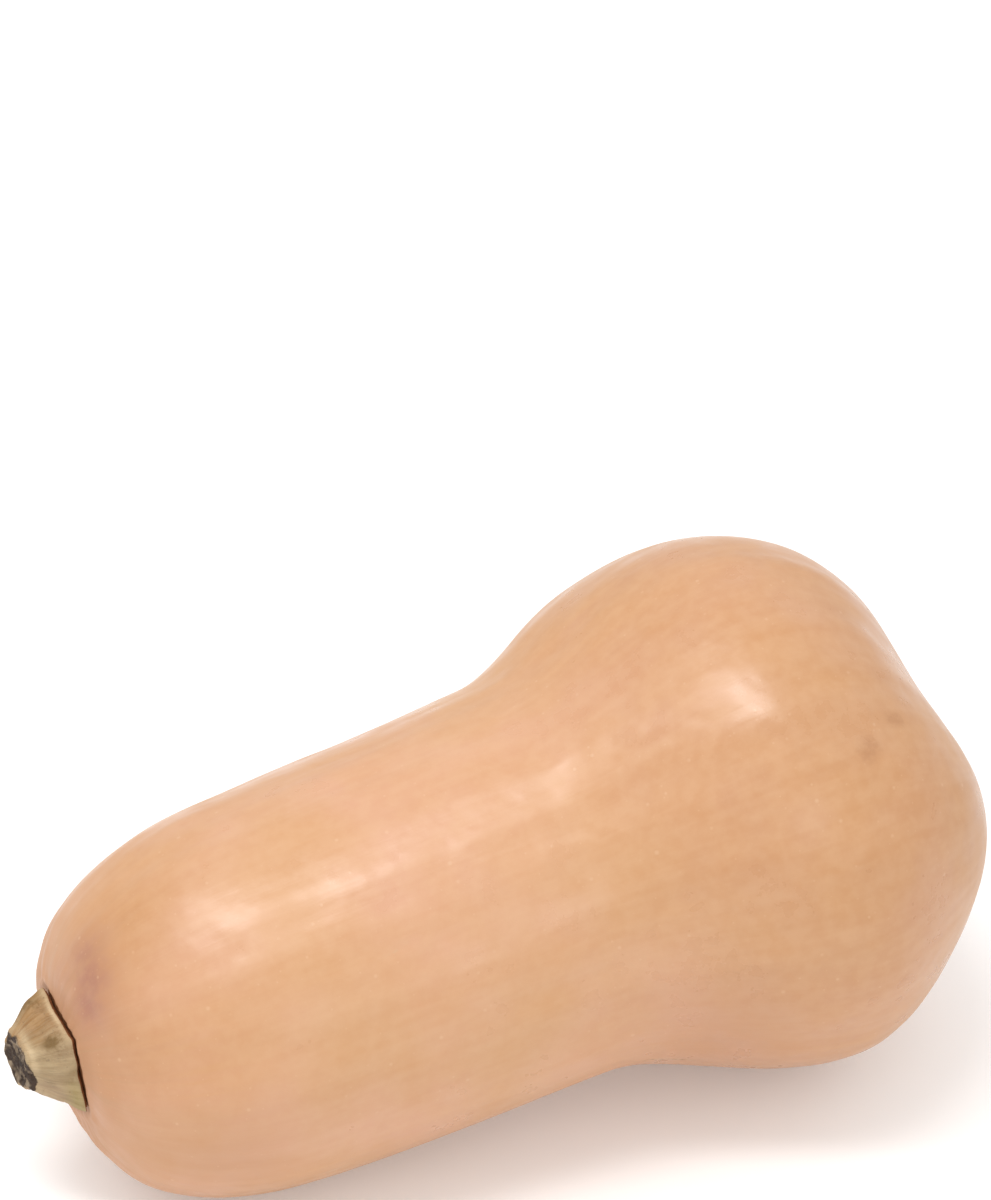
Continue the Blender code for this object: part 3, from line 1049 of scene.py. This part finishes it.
    def _bent(self, points: Array, along: Array) -> Array:
        """Turns each ring past the bulb's widest about the bulb's centre, more and more towards the tip."""
        side = side_vector(self.blossom_bend_angle)
        reach = (along - self.bulb_place) / (self.length - self.bulb_place)
        turn = math.radians(self.blossom_bend) * smooth_step(reach)
        ahead = points[..., 0] - self.bulb_place
        beside = points @ side
        moved = ahead * np.sin(turn) + beside * (np.cos(turn) - 1.0)
        points = points + moved[..., None] * side
        points[..., 0] = self.bulb_place + ahead * np.cos(turn) - beside * np.sin(turn)
        return points

    def _swollen(self, points: Array) -> Array:
        """Moves points straight out from the bulb's centre by the bell-shaped swells and hollows."""
        outward = points - np.array((self.bulb_place, 0.0, 0.0))
        outward = outward / np.linalg.norm(outward, axis=-1, keepdims=True)
        height = np.zeros(points.shape[:-1])
        for swell in self.swells:
            latitude = math.radians(swell.latitude)
            middle = math.cos(latitude) * side_vector(swell.angle)
            middle[0] = math.sin(latitude)
            away = np.degrees(np.arccos(np.clip(outward @ middle, -1.0, 1.0)))
            height = height + swell.height * bell(away, swell.width)
        return points + outward * height[..., None]

    def _lean_on_ground(self, points: Array) -> float:
        """The angle at which the lowest points of neck and bulb are on one level."""
        x = points[..., 0].ravel()
        z = points[..., 2].ravel()
        neck = np.flatnonzero(x < self.waist_place)
        bulb = np.flatnonzero(x >= self.waist_place)
        lean = 0.0
        for _ in range(8):
            height = z * math.cos(lean) + x * math.sin(lean)
            neck_low = neck[np.argmin(height[neck])]
            bulb_low = bulb[np.argmin(height[bulb])]
            lean = math.atan2(z[neck_low] - z[bulb_low], x[bulb_low] - x[neck_low])
        return lean


@dataclass(frozen=True)
class Mark:
    """A small mark on the rind, longer one way.

    Attributes:
        kind: What it is.
        along: Distance from the stem end of its middle.
        angle: Degrees round the axis of its middle.
        length: Half its length.
        width: Half its width.
        turn: Degrees from lengthwise that it lies at.
        height: How far it stands up, or sinks where it is below 0.
    """

    kind: MarkKind
    along: float
    angle: float
    length: float
    width: float
    turn: float
    height: float


@dataclass(frozen=True)
class Tone:
    """A broad soft patch of another colour on the rind.

    Attributes:
        layer: The layer that it is painted in.
        place: Its middle in the squash's own frame.
        reach: How far it spreads.
        strength: How strong it is in its middle.
    """

    layer: Layer
    place: tuple[float, float, float]
    reach: float
    strength: float


@dataclass
class Rind:
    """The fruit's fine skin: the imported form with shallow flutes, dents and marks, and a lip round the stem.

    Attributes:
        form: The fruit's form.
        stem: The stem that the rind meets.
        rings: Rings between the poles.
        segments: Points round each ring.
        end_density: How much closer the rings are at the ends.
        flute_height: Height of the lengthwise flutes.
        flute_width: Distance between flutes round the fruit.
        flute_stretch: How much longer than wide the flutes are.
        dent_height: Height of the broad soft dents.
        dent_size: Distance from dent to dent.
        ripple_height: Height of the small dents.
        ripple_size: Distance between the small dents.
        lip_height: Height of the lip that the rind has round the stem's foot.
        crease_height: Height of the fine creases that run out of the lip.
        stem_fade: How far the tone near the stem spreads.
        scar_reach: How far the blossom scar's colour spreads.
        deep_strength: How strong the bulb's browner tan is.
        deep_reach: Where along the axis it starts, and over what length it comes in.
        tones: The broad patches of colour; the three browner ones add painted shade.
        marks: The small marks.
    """

    form: SquashForm
    stem: "Stem"
    rings: int = 284
    segments: int = 340
    end_density: float = 0.09
    flute_height: float = 0.00015
    flute_width: float = 0.0095
    flute_stretch: float = 5.0
    dent_height: float = 0.00022
    dent_size: float = 0.036
    ripple_height: float = 0.00004
    ripple_size: float = 0.011
    lip_height: float = 0.00045
    crease_height: float = 0.00012
    stem_fade: float = 0.016
    scar_reach: float = 0.0062
    deep_strength: float = 0.62
    deep_reach: tuple[float, float] = (0.095, 0.050)
    tones: tuple[Tone, ...] = (
        Tone(Layer.BLUSH, (0.0085, -0.0030, 0.0292), 0.0062, 0.66),
        Tone(Layer.BLUSH, (0.0075, -0.0075, 0.0270), 0.0064, 0.84),
        Tone(Layer.BLUSH, (0.0055, -0.0098, 0.0232), 0.0062, 0.84),
        Tone(Layer.BLUSH, (0.0045, -0.0020, 0.0235), 0.0090, 0.40),
        Tone(Layer.BLUSH, (0.0200, -0.0380, -0.0100), 0.0140, 0.22),
        Tone(Layer.BLUSH, (0.1270, -0.0460, -0.0200), 0.0160, 0.25),
        Tone(Layer.HONEY, (0.0190, 0.0000, 0.0365), 0.0090, 0.80),
        Tone(Layer.HONEY, (0.0300, 0.0080, 0.0390), 0.0100, 0.60),
        Tone(Layer.HONEY, (0.0190, -0.0330, 0.0140), 0.0130, 0.70),
        Tone(Layer.HONEY, (0.1320, 0.0150, 0.0500), 0.0150, 0.80),
        # Painted shade: the last three patches darken the bulb's flank that faces away from the lights and two places
        # by the stem, where the rind is also browner.
        Tone(Layer.DEEP_TAN_AND_SHADE, (0.1900, -0.0450, 0.0100), 0.0240, 1.0),
        Tone(Layer.DEEP_TAN_AND_SHADE, (0.0080, -0.0180, 0.0160), 0.0120, 0.8),
        Tone(Layer.DEEP_TAN_AND_SHADE, (0.0190, -0.0060, 0.0360), 0.0110, 0.8),
    )
    marks: tuple[Mark, ...] = (
        Mark(MarkKind.SPOT, 0.1700, -48.0, 0.0036, 0.0028, 40.0, -0.00006),
        Mark(MarkKind.SPOT, 0.1800, -42.0, 0.0026, 0.0020, 0.0, -0.00005),
        Mark(MarkKind.NICK, 0.0640, -52.0, 0.0060, 0.0006, 14.0, -0.00014),
        Mark(MarkKind.CORKY, 0.1180, -128.0, 0.0070, 0.0007, -12.0, 0.00010),
        Mark(MarkKind.NICK, 0.1420, 150.0, 0.0090, 0.0007, 35.0, -0.00016),
        Mark(MarkKind.CORKY, 0.0820, 118.0, 0.0110, 0.0011, 8.0, 0.00013),
        Mark(MarkKind.SPOT, 0.1000, 62.0, 0.0060, 0.0045, 30.0, -0.00010),
        Mark(MarkKind.CORKY, 0.1560, 84.0, 0.0045, 0.0016, 60.0, 0.00012),
    )

    def build(self, finish: RindFinish, effects: Effects) -> bpy.types.Object:
        """Builds the fruit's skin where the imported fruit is.

        Args:
            finish: The rind's finish.
            effects: The shared node groups.

        Returns:
            The object.
        """
        along, angle = self.form.stations(self.rings, self.segments, self.end_density)
        points = self.form.surface(along, angle)
        normals = surface_normals(points, self._inner(along))
        girth = self._girth_places(along, angle)
        height = self._relief(points, girth, along)
        # The first value is the band under the stem's edge, painted dark as brown tissue and shade.
        foot, lip = self._round_stem(points)
        height = height + lip
        shape = points.shape[:2]
        scar_distance = self._scar_distance(along, shape)
        deep_tan_and_shade = self.deep_strength * smooth_step((along - self.deep_reach[0]) / self.deep_reach[1])
        layers = {
            Layer.PLACE: girth,
            Layer.STEM_NEAR: self._stem_near(points),
            Layer.CRACK_AND_SHADE: foot,
            Layer.SCAR: bell(scar_distance, self.scar_reach),
            Layer.SCAR_RADIUS: scar_distance,
        }
        layers |= {layer: np.zeros(shape) for layer in (Layer.CORK, Layer.BRUISE, Layer.BLUSH, Layer.HONEY)}
        layers[Layer.DEEP_TAN_AND_SHADE] = np.broadcast_to(deep_tan_and_shade, shape)
        for tone in self.tones:
            away = np.linalg.norm(points - np.array(tone.place), axis=-1)
            layers[tone.layer] = np.maximum(layers[tone.layer], tone.strength * bell(away, tone.reach))
        for mark in self.marks:
            spread = self._mark_spread(mark, along, angle)
            height = height + mark.height * spread
            layer = Layer.BRUISE if mark.kind is MarkKind.SPOT else Layer.CORK
            strength = 0.4 if mark.kind is MarkKind.NICK else 1.0
            layers[layer] = np.maximum(layers[layer], strength * spread)
        skin = self.form.laid_down(points + normals * height[..., None])
        return closed_object("squash_rind", skin, layers, finish.build(effects))

    def _inner(self, along: Array) -> Array:
        """A point well inside the fruit for each ring, on the axis and away from both ends."""
        x = np.clip(along[:, 0], 0.03, self.form.bulb_place)
        return np.stack((x, np.zeros_like(x), np.zeros_like(x)), axis=-1)

    def _girth_places(self, along: Array, angle: Array) -> Array:
        """Places on a straight cylinder as wide as the neck, so that patterns on them run from pole to pole."""
        radius = self.form.neck_radius
        return np.stack(np.broadcast_arrays(along, radius * np.sin(angle), radius * np.cos(angle)), axis=-1)

    def _relief(self, points: Array, girth: Array, along: Array) -> Array:
        """Height of flutes, dents and small dents: wave noise at three sizes, the flutes drawn out lengthwise."""
        drawn_out = girth * np.array((1.0 / self.flute_stretch, 1.0, 1.0))
        ends = smooth_step(along / 0.012) * smooth_step((self.form.length - along) / 0.02)
        flutes = wave_noise(drawn_out, self.flute_width, Seed.FLUTES) * self.flute_height
        fine_flutes = wave_noise(drawn_out, self.flute_width * 0.42, Seed.FINE_FLUTES) * self.flute_height * 0.28
        dents = wave_noise(points, self.dent_size, Seed.DENTS) * self.dent_height
        ripples = wave_noise(points, self.ripple_size, Seed.RIPPLES) * self.ripple_height
        return (flutes + fine_flutes + dents + ripples) * ends

    def _round_stem(self, points: Array) -> tuple[Array, Array]:
        """The dark band under the stem's edge, brown tissue with painted shade of the gap, and the lip and creases
        outside it, by distance from its outline.
        """
        place, columns = self.form.stem_frame()
        local = (points - place) @ columns
        spread = np.hypot(local[..., 0], local[..., 1])
        turn = np.arctan2(local[..., 1], local[..., 0])
        near = (np.abs(local[..., 2]) < 0.02) & (spread < 0.04)
        outside = spread - self.stem.outline(turn, 0.0) * self.stem.foot_radius
        uneven = 1.0 + 0.35 * wave_noise(points, 0.006, Seed.LIP)
        lip = self.lip_height * uneven * bell(outside - 0.0021, 0.0016)
        sunk = -0.6 * self.lip_height * bell(outside + 0.0002, 0.0009)
        drawn_out = np.stack((np.cos(turn) * 0.02, np.sin(turn) * 0.02, spread * 0.1), axis=-1)
        fade = smooth_step(outside / 0.002) * (1.0 - smooth_step((outside - 0.003) / 0.016))
        creases = self.crease_height * wave_noise(drawn_out, 0.0030, Seed.CREASES) * fade
        # Dark under and just outside the foot's outline: brown tissue with painted shade of the gap.
        dark = 1.0 - smooth_step((outside + 0.0007) / 0.0009)
        return np.where(near, dark, 0.0), np.where(near, lip + sunk + creases, 0.0)

    def _stem_near(self, points: Array) -> Array:
        """1 at the stem's foot, fading out over the neck's shoulder with the distance from it."""
        place, _ = self.form.stem_frame()
        away = np.linalg.norm(points - place, axis=-1) - self.stem.foot_radius
        return np.exp(-np.maximum(away, 0.0) / self.stem_fade)

    def _scar_distance(self, along: Array, shape: tuple[int, int]) -> Array:
        """Distance from the middle of the blossom scar, and far away on the rest of the fruit."""
        plain = self.form.radius(along)
        return np.broadcast_to(np.where(along > self.form.bulb_place, plain, 0.1), shape)

    def _mark_spread(self, mark: Mark, along: Array, angle: Array) -> Array:
        """1 in the middle of a mark, falling away as a bell in its length and its width."""
        radius = float(self.form.radius(np.array(mark.along)))
        from_mark = np.mod(angle - math.radians(mark.angle) + math.pi, 2.0 * math.pi) - math.pi
        sideways = from_mark * radius
        ahead = along - mark.along
        cos, sin = math.cos(math.radians(mark.turn)), math.sin(math.radians(mark.turn))
        bow = 0.12 * (ahead * cos + sideways * sin) ** 2 / mark.length
        lengthwise = (ahead * cos + sideways * sin) / mark.length
        crosswise = (sideways * cos - ahead * sin + bow) / mark.width
        return np.exp(-(lengthwise**4) - crosswise**2)


@dataclass(frozen=True)
class StemPatch:
    """A soft patch in one of the stem's layers.

    Attributes:
        layer: The layer that it is painted in.
        angle: Degrees round the stem of its middle.
        width: Its spread in degrees.
        rise: Share of the stem's height of its middle.
        reach: Its spread as a share of the height.
        strength: How strong it is, or how far the dark of the cut runs down there.
    """

    layer: Layer
    angle: float
    width: float
    rise: float
    reach: float
    strength: float


@dataclass
class Stem:
    """The dry five-sided stub of stem, with its ridges, fibres, undercut foot and dark cut.

    Attributes:
        height: Height from the seat to the cut.
        foot_radius: Mean radius of the foot.
        tip_radius: Mean radius of the cut.
        narrowing: Power by which the flank narrows, mostly near the cut where it is above 1.
        sides: Number of sides.
        corner_angle: Degrees round the stem of one corner.
        corner_rounding: How much the corners are softened.
        foot_squareness: How five-sided the foot is, 1 for a plain pentagon.
        tip_squareness: How five-sided the cut is.
        bend: How far the cut is moved sideways.
        bend_power: How late the stem bends.
        hump_height: Height of the soft hump on the upper side.
        hump_width: Its spread in degrees.
        foot_trim: How much the foot is drawn in under the hump.
        cut_slope: Slope of the cut along both axes of the foot.
        cut_slope_power: How late that slope comes in.
        cut_dish: How far the cut is dished in.
        undercut_height: Height of the upper edge of the foot's lip.
        undercut_wall: Height of the upright wall under the lip.
        undercut_depth: How far that wall is set back.
        segments: Points round each ring.
        flank_rings: Rings up the flank.
        pattern_radius: Radius of the straight cylinder on which patterns are read.
        ridge_height: Height of the ridges at the corners.
        rib_height: Height of the ribs between them.
        fibre_height: Height of the fibres.
        knob_height: Height of the knobs.
        callus_height: Height of the swelling just under the cut's rim.
        cut_roughness: Height of the torn fibres of the cut.
        facet_angle: Degrees round the stem of the side that is browner.
        cut_spill: How far the dark of the cut comes over its rim all round.
        cut_edge: How softly that dark ends.
        patches: Patches of pale lip, green, olive and dark.
    """

    height: float = 0.0100
    foot_radius: float = 0.0122
    tip_radius: float = 0.0057
    narrowing: float = 1.15
    sides: int = 5
    corner_angle: float = -14.0
    corner_rounding: float = 0.10
    foot_squareness: float = 1.3
    tip_squareness: float = 0.45
    bend: float = 0.0010
    bend_power: float = 1.5
    hump_height: float = 0.0011
    hump_width: float = 40.0
    foot_trim: float = 0.0008
    cut_slope: tuple[float, float] = (0.03, 0.12)
    cut_slope_power: float = 2.0
    cut_dish: float = 0.0006
    undercut_height: float = 0.0005
    undercut_wall: float = 0.0003
    undercut_depth: float = 0.0008
    segments: int = 260
    flank_rings: int = 96
    pattern_radius: float = 0.010
    ridge_height: float = 0.00034
    rib_height: float = 0.00016
    fibre_height: float = 0.00010
    knob_height: float = 0.00040
    callus_height: float = 0.00030
    cut_roughness: float = 0.00030
    facet_angle: float = -20.0
    cut_spill: float = 0.0003
    cut_edge: float = 0.0010
    patches: tuple[StemPatch, ...] = (
        StemPatch(Layer.LIP, -45.0, 32.0, 0.05, 0.07, 1.0),
        StemPatch(Layer.LIP, -80.0, 50.0, 0.86, 0.10, 0.8),
        StemPatch(Layer.LIP, 110.0, 90.0, 0.04, 0.07, 0.5),
        StemPatch(Layer.GREEN, -150.0, 24.0, 0.10, 0.22, 1.0),
        StemPatch(Layer.GREEN, 60.0, 60.0, 0.15, 0.30, 0.6),
        StemPatch(Layer.OLIVE, -80.0, 11.0, 0.42, 0.28, 1.0),
        StemPatch(Layer.OLIVE, -5.0, 26.0, 0.45, 0.40, 0.9),
        StemPatch(Layer.CUT, -138.0, 24.0, 1.0, 0.5, 0.0019),
        StemPatch(Layer.CUT, -35.0, 30.0, 1.0, 0.5, 0.0005),
    )

    def outline(self, angle: Array, rise: "Array | float") -> Array:
        """The section's radius as a share of its mean: a pentagon with softened corners, rounder towards the cut.

        Args:
            angle: Angles round the stem.
            rise: Share of the stem's height.

        Returns:
            The shares.
        """
        turn = 2.0 * math.pi / self.sides
        from_flat = np.mod(angle - math.radians(self.corner_angle), turn) - turn / 2.0
        pentagon = math.cos(turn / 4.0) / np.cos(from_flat * (1.0 - self.corner_rounding))
        squareness = self.foot_squareness + (self.tip_squareness - self.foot_squareness) * rise
        return 1.0 + squareness * (pentagon - 1.0)

    def build(self, form: SquashForm, finish: StemFinish, effects: Effects) -> bpy.types.Object:
        """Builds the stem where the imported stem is.

        Args:
            form: The fruit's form, which carries the stem.
            finish: The stem's finish.
            effects: The shared node groups.

        Returns:
            The object.
        """
        radius, height, rise, inside = self._profile()
        angle = np.linspace(0.0, 2.0 * math.pi, self.segments, endpoint=False)[None, :]
        radius, height, rise, inside = (column[:, None] for column in (radius, height, rise, inside))
        sideways, upwards = self.pattern_radius * np.sin(angle), self.pattern_radius * np.cos(angle)
        round_place = np.stack(np.broadcast_arrays(rise * self.height, sideways, upwards), axis=-1)
        on_flank = np.where(rise > 0.0, 1.0, radius / self.foot_radius) * (1.0 - smooth_step((inside - 0.02) / 0.25))
        upper = bell(np.mod(np.degrees(angle) - self.corner_angle + 180.0, 360.0) - 180.0, self.hump_width)
        hump = self.hump_height * np.sin(math.pi * rise) - self.foot_trim * (1.0 - rise) ** 3
        girth = radius * self.outline(angle, rise) + (hump * upper + self._ridges(angle, rise, round_place)) * on_flank
        girth = girth * np.where(radius > 0.0, 1.0, 0.0)
        lifted = height + self._foot_waves(angle, rise) + self._cut_relief(angle, inside, radius)
        share = np.maximum(lifted, 0.0) / self.height
        x, y = girth * np.cos(angle), girth * np.sin(angle)
        slant = (self.cut_slope[0] * x + self.cut_slope[1] * y) * share**self.cut_slope_power
        local = np.stack((x + self.bend * share**self.bend_power, y, lifted + slant), axis=-1)
        place, columns = form.stem_frame()
        points = form.laid_down(local @ columns.T + place)
        layers = self._layers(angle, rise, inside, round_place)
        return closed_object("squash_stem", points, layers, finish.build(effects))

    def _profile(self) -> tuple[Array, Array, Array, Array]:
        """The outline of the stem from the middle of its underside, up its flank and over the cut to its middle.

        The underside is flat, the wall of the undercut is upright, the lip turns round a quarter circle, the flank
        narrows by a power of the height, the rim turns over, and the cut is a shallow dish.

        Returns:
            For each ring: radius, height, share of the flank's height, and share of the way from rim to middle.
        """
        under = self.foot_radius - self.undercut_depth
        step = np.linspace(0.0, 1.0, self.flank_rings)
        flank_radius = self.foot_radius + (self.tip_radius - self.foot_radius) * step**self.narrowing
        flank_height = self.undercut_height + (self.height - self.undercut_height) * step
        turn = np.linspace(0.0, 0.5 * math.pi, 8)[1:-1]
        lip_radius = under + self.undercut_depth * np.sin(turn)
        lip_height = self.undercut_height - (self.undercut_height - self.undercut_wall) * np.cos(turn)
        inward = np.linspace(0.0, 1.0, 40)[1:]
        cut_radius = self.tip_radius * (1.0 - inward)
        cut_height = self.height - self.cut_dish * (1.0 - (1.0 - inward) ** 2)
        underside = np.linspace(0.0, under, 10)
        wall = np.linspace(0.0, self.undercut_wall, 6)[1:]
        radius = np.concatenate((underside, np.full(len(wall), under), lip_radius, flank_radius, cut_radius))
        height = np.concatenate((np.zeros(len(underside)), wall, lip_height, flank_height, cut_height))
        below = np.zeros(len(underside) + len(wall) + len(turn))
        rise = np.concatenate((below, step, np.ones(len(inward))))
        inside = np.concatenate((below, np.zeros(len(step)), inward))
        return radius, height, rise, inside

    def _ridges(self, angle: Array, rise: Array, place: Array) -> Array:
        """Height of the ridges at the corners, the ribs between them, the fibres, the knobs and the callus."""
        from_corner = angle - math.radians(self.corner_angle)
        crest = np.abs(np.cos(0.5 * self.sides * from_corner)) ** 5
        flare = 1.0 + 1.1 * (1.0 - smooth_step(rise / 0.35))
        ridges = self.ridge_height * (crest - 0.35) * flare
        wander = 1.5 * wave_noise(place * np.array((0.5, 1.0, 1.0)), 0.006, Seed.RIB_WANDER)
        ribs = self.rib_height * np.cos(3.0 * self.sides * from_corner + wander)
        fibres = self.fibre_height * wave_noise(place * np.array((0.12, 1.0, 1.0)), 0.00085, Seed.FIBRES)
        knobs = self.knob_height * wave_noise(place, 0.0046, Seed.KNOBS)
        swelling = bell(rise - 0.96, 0.05) * (1.0 + wave_noise(place, 0.003, Seed.CALLUS))
        return ridges + ribs + fibres + knobs + self.callus_height * swelling

    def _foot_waves(self, angle: Array, rise: Array) -> Array:
        """Small ups and downs of the foot's edge, so that the dark gap under it is wider in places."""
        place = np.stack((np.cos(angle) * 0.012, np.sin(angle) * 0.012, np.zeros_like(angle)), axis=-1)
        waves = 0.00018 * wave_noise(place, 0.007, Seed.FOOT_WAVES)
        ripples = 0.00008 * wave_noise(place, 0.002, Seed.FOOT_RIPPLES)
        at_lip = np.where(rise > 0.0, np.exp(-rise / 0.10), 0.0)
        return (waves + ripples) * at_lip

    def _cut_relief(self, angle: Array, inside: Array, radius: Array) -> Array:
        """Rough height of the cut: torn fibres, a groove inside the rim and a small hollow off its middle."""
        place = np.stack(np.broadcast_arrays(radius * np.cos(angle), radius * np.sin(angle), 0.0 * radius), axis=-1)
        rough = 0.6 * wave_noise(place, 0.0022, Seed.CUT_LUMPS) + 0.5 * wave_noise(place, 0.0009, Seed.CUT_GRAIN)
        groove = -0.8 * bell(inside - 0.30, 0.12) + 0.5 * bell(inside - 0.08, 0.07)
        hollow_x = place[..., 0] - 0.0012
        hollow_y = place[..., 1] + 0.0006
        hollow = -1.6 * bell(np.hypot(hollow_x, hollow_y), 0.0013)
        return self.cut_roughness * (rough + groove + hollow) * smooth_step(inside / 0.10)

    def _layers(self, angle: Array, rise: Array, inside: Array, place: Array) -> dict[Layer, Array]:
        """Masks for the stem's finish, painted by angle round it and share of its height.

        Args:
            angle: A row of angles.
            rise: A column of shares of the flank's height.
            inside: A column of shares of the way from the cut's rim to its middle.
            place: Places on a straight cylinder round the stem.

        Returns:
            The values for each layer.
        """
        shape = np.broadcast_shapes(angle.shape, rise.shape)
        sums = {layer: np.zeros(shape) for layer in (Layer.LIP, Layer.GREEN, Layer.OLIVE, Layer.CUT)}
        for patch in self.patches:
            away = np.mod(np.degrees(angle) - patch.angle + 180.0, 360.0) - 180.0
            sums[patch.layer] += patch.strength * bell(away, patch.width) * bell(rise - patch.rise, patch.reach)
        from_corner = angle - math.radians(self.corner_angle)
        facet = 0.5 + 0.5 * np.cos(angle - math.radians(self.facet_angle))
        on_flank = 1.0 - smooth_step(inside / 0.05)
        depth = inside * self.tip_radius - (1.0 - rise) * self.height
        return {
            Layer.PLACE: place,
            Layer.FACET: np.broadcast_to(facet, shape),
            Layer.RIDGE: np.abs(np.cos(0.5 * self.sides * from_corner)) ** 6 * (0.4 + 0.6 * rise),
            Layer.LIP: np.clip(sums[Layer.LIP], 0.0, 1.0) * on_flank,
            Layer.GREEN: np.clip(sums[Layer.GREEN], 0.0, 1.0),
            Layer.OLIVE: np.clip(sums[Layer.OLIVE], 0.0, 1.0) * on_flank,
            # Dark under the foot's lip: corky brown and painted shade.
            Layer.UNDERCUT_AND_SHADE: np.broadcast_to(np.where(rise > 0.0, np.exp(-rise / 0.010) * 0.75, 1.0), shape),
            Layer.CUT: smooth_step((depth + self.cut_spill + sums[Layer.CUT]) / self.cut_edge),
        }


@dataclass(frozen=True)
class Panel:
    """A soft rectangular light.

    Attributes:
        name: Its name.
        place: Its middle.
        target: The point that it faces.
        size: Its width and its height.
        power: Its power in watts.
        spin: Degrees that it is turned round the upright through its middle.
    """

    name: str
    place: tuple[float, float, float]
    target: tuple[float, float, float]
    size: tuple[float, float]
    power: float
    spin: float


@dataclass
class Studio:
    """A plain pale floor, a white surround, soft lights and the camera of the photograph.

    Attributes:
        azimuth: Degrees of the camera round the squash, from straight in front.
        elevation: Degrees of the camera above the ground.
        lens: Focal length in millimetres.
        sensor: Width of the camera's sensor in millimetres.
        distance: Distance from the camera to the aimed point.
        aim: A point in the squash.
        aim_pixel: The photograph's pixel that shows that point.
        floor_size: Length of each side of the floor.
        zenith: Strength of the surround's light from above.
        horizon: Strength of its light from the horizon and below.
        panels: The soft lights.
    """

    azimuth: float = -23.4
    elevation: float = 33.2
    lens: float = 120.0
    sensor: float = 36.0
    distance: float = 0.8629
    aim: tuple[float, float, float] = (0.0048, 0.0, 0.0496)
    aim_pixel: tuple[float, float] = (513.2, 893.2)
    floor_size: float = 14.0
    zenith: float = 1.03
    horizon: float = 0.60
    panels: tuple[Panel, ...] = (
        Panel("overhead_panel", (-0.25, -0.085, 0.95), (0.0, 0.0, 0.08), (0.52, 0.19), power=3.7, spin=38.0),
        Panel("front_panel", (-0.10, -1.30, 0.62), (0.0, 0.0, 0.06), (0.6, 0.18), power=1.2, spin=0.0),
    )

    def build(self) -> None:
        """Sets up the floor, the surround, the lights, the camera and plain screen colours."""
        self._floor()
        self._surround()
        for panel in self.panels:
            self._hang(panel)
        self._camera()
        settings = bpy.context.scene.view_settings
        settings.view_transform = "Standard"
        settings.look = "None"

    def _floor(self) -> None:
        """Lays the floor, a wide level sheet just under the squash."""
        half = 0.5 * self.floor_size
        corners = [(-half, -half, 0.0), (half, -half, 0.0), (half, half, 0.0), (-half, half, 0.0)]
        mesh = bpy.data.meshes.new("studio_floor")
        mesh.from_pydata(corners, [], [(0, 1, 2, 3)])
        mesh.materials.append(FloorFinish().build())
        floor = bpy.data.objects.new("studio_floor", mesh)
        bpy.context.scene.collection.objects.link(floor)

    def _surround(self) -> None:
        """Lights the scene with white from all round, dimmer near the horizon."""
        world = bpy.data.worlds.new("surround")
        world.use_nodes = True
        bench = Bench(world.node_tree)
        background = world.node_tree.nodes["Background"]
        split = bench.node("ShaderNodeSeparateXYZ")
        bench.feed(split.inputs[0], bench.node("ShaderNodeTexCoord").outputs["Generated"])
        background.inputs["Color"].default_value = (1.0, 1.0, 1.0, 1.0)
        light = bench.step(split.outputs["Z"], 0.0, 0.55, self.horizon, self.zenith)
        seen = bench.node("ShaderNodeLightPath").outputs["Is Camera Ray"]
        bench.feed(background.inputs["Strength"], bench.largest(light, seen))
        bpy.context.scene.world = world

    def _hang(self, panel: Panel) -> None:
        """Hangs a soft light so that it faces its target."""
        light = bpy.data.lights.new(panel.name, "AREA")
        light.shape = "RECTANGLE"
        light.size, light.size_y = panel.size
        light.energy = panel.power
        lamp = bpy.data.objects.new(panel.name, light)
        lamp.location = panel.place
        facing = (Vector(panel.target) - Vector(panel.place)).to_track_quat("-Z", "Y").to_matrix()
        lamp.rotation_euler = (Matrix.Rotation(math.radians(panel.spin), 3, "Z") @ facing).to_euler()
        bpy.context.scene.collection.objects.link(lamp)

    def _camera(self) -> None:
        """Places the camera so that the aimed point falls on its pixel, with the photograph's view direction."""
        turn, lift = math.radians(self.azimuth), math.radians(self.elevation)
        back = Vector((math.sin(turn) * math.cos(lift), -math.cos(turn) * math.cos(lift), math.sin(lift)))
        right = Vector((math.cos(turn), math.sin(turn), 0.0))
        upward = back.cross(right)
        focal = self.lens / self.sensor * PHOTO_HEIGHT
        across = (self.aim_pixel[0] - 0.5 * PHOTO_WIDTH) / focal
        above = (0.5 * PHOTO_HEIGHT - self.aim_pixel[1]) / focal
        ray = (right * across + upward * above - back).normalized()
        data = bpy.data.cameras.new("camera")
        data.lens = self.lens
        data.sensor_width = self.sensor
        data.clip_start = 0.05
        data.clip_end = 50.0
        camera = bpy.data.objects.new("camera", data)
        camera.location = Vector(self.aim) - ray * self.distance
        camera.rotation_euler = Matrix((right, upward, back)).transposed().to_euler()
        bpy.context.scene.collection.objects.link(camera)
        bpy.context.scene.camera = camera


def corners(box: tuple[Vector, Vector]) -> list[list[float]]:
    """A box as plain lists of numbers, its lowest corner first."""
    return [[float(value) for value in corner] for corner in box]


def main() -> None:
    """Builds the squash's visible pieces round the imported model, and the studio."""
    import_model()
    effects = Effects()
    form = SquashForm()
    stalk = Stem()
    LOG.info("form: leans %.2f degrees", math.degrees(form.lean))

    rind = Rind(form, stalk).build(RindFinish(), effects)
    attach(rind, "root")
    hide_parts("fruit")
    LOG.info("%s: %d faces", rind.name, len(rind.data.polygons))

    stem = stalk.build(form, StemFinish(), effects)
    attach(stem, "root")
    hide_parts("stem")
    LOG.info("%s: %d faces", stem.name, len(stem.data.polygons))

    Studio().build()


if __name__ == "__main__":
    logging.basicConfig(level=logging.INFO, format="%(name)s: %(message)s")
    main()
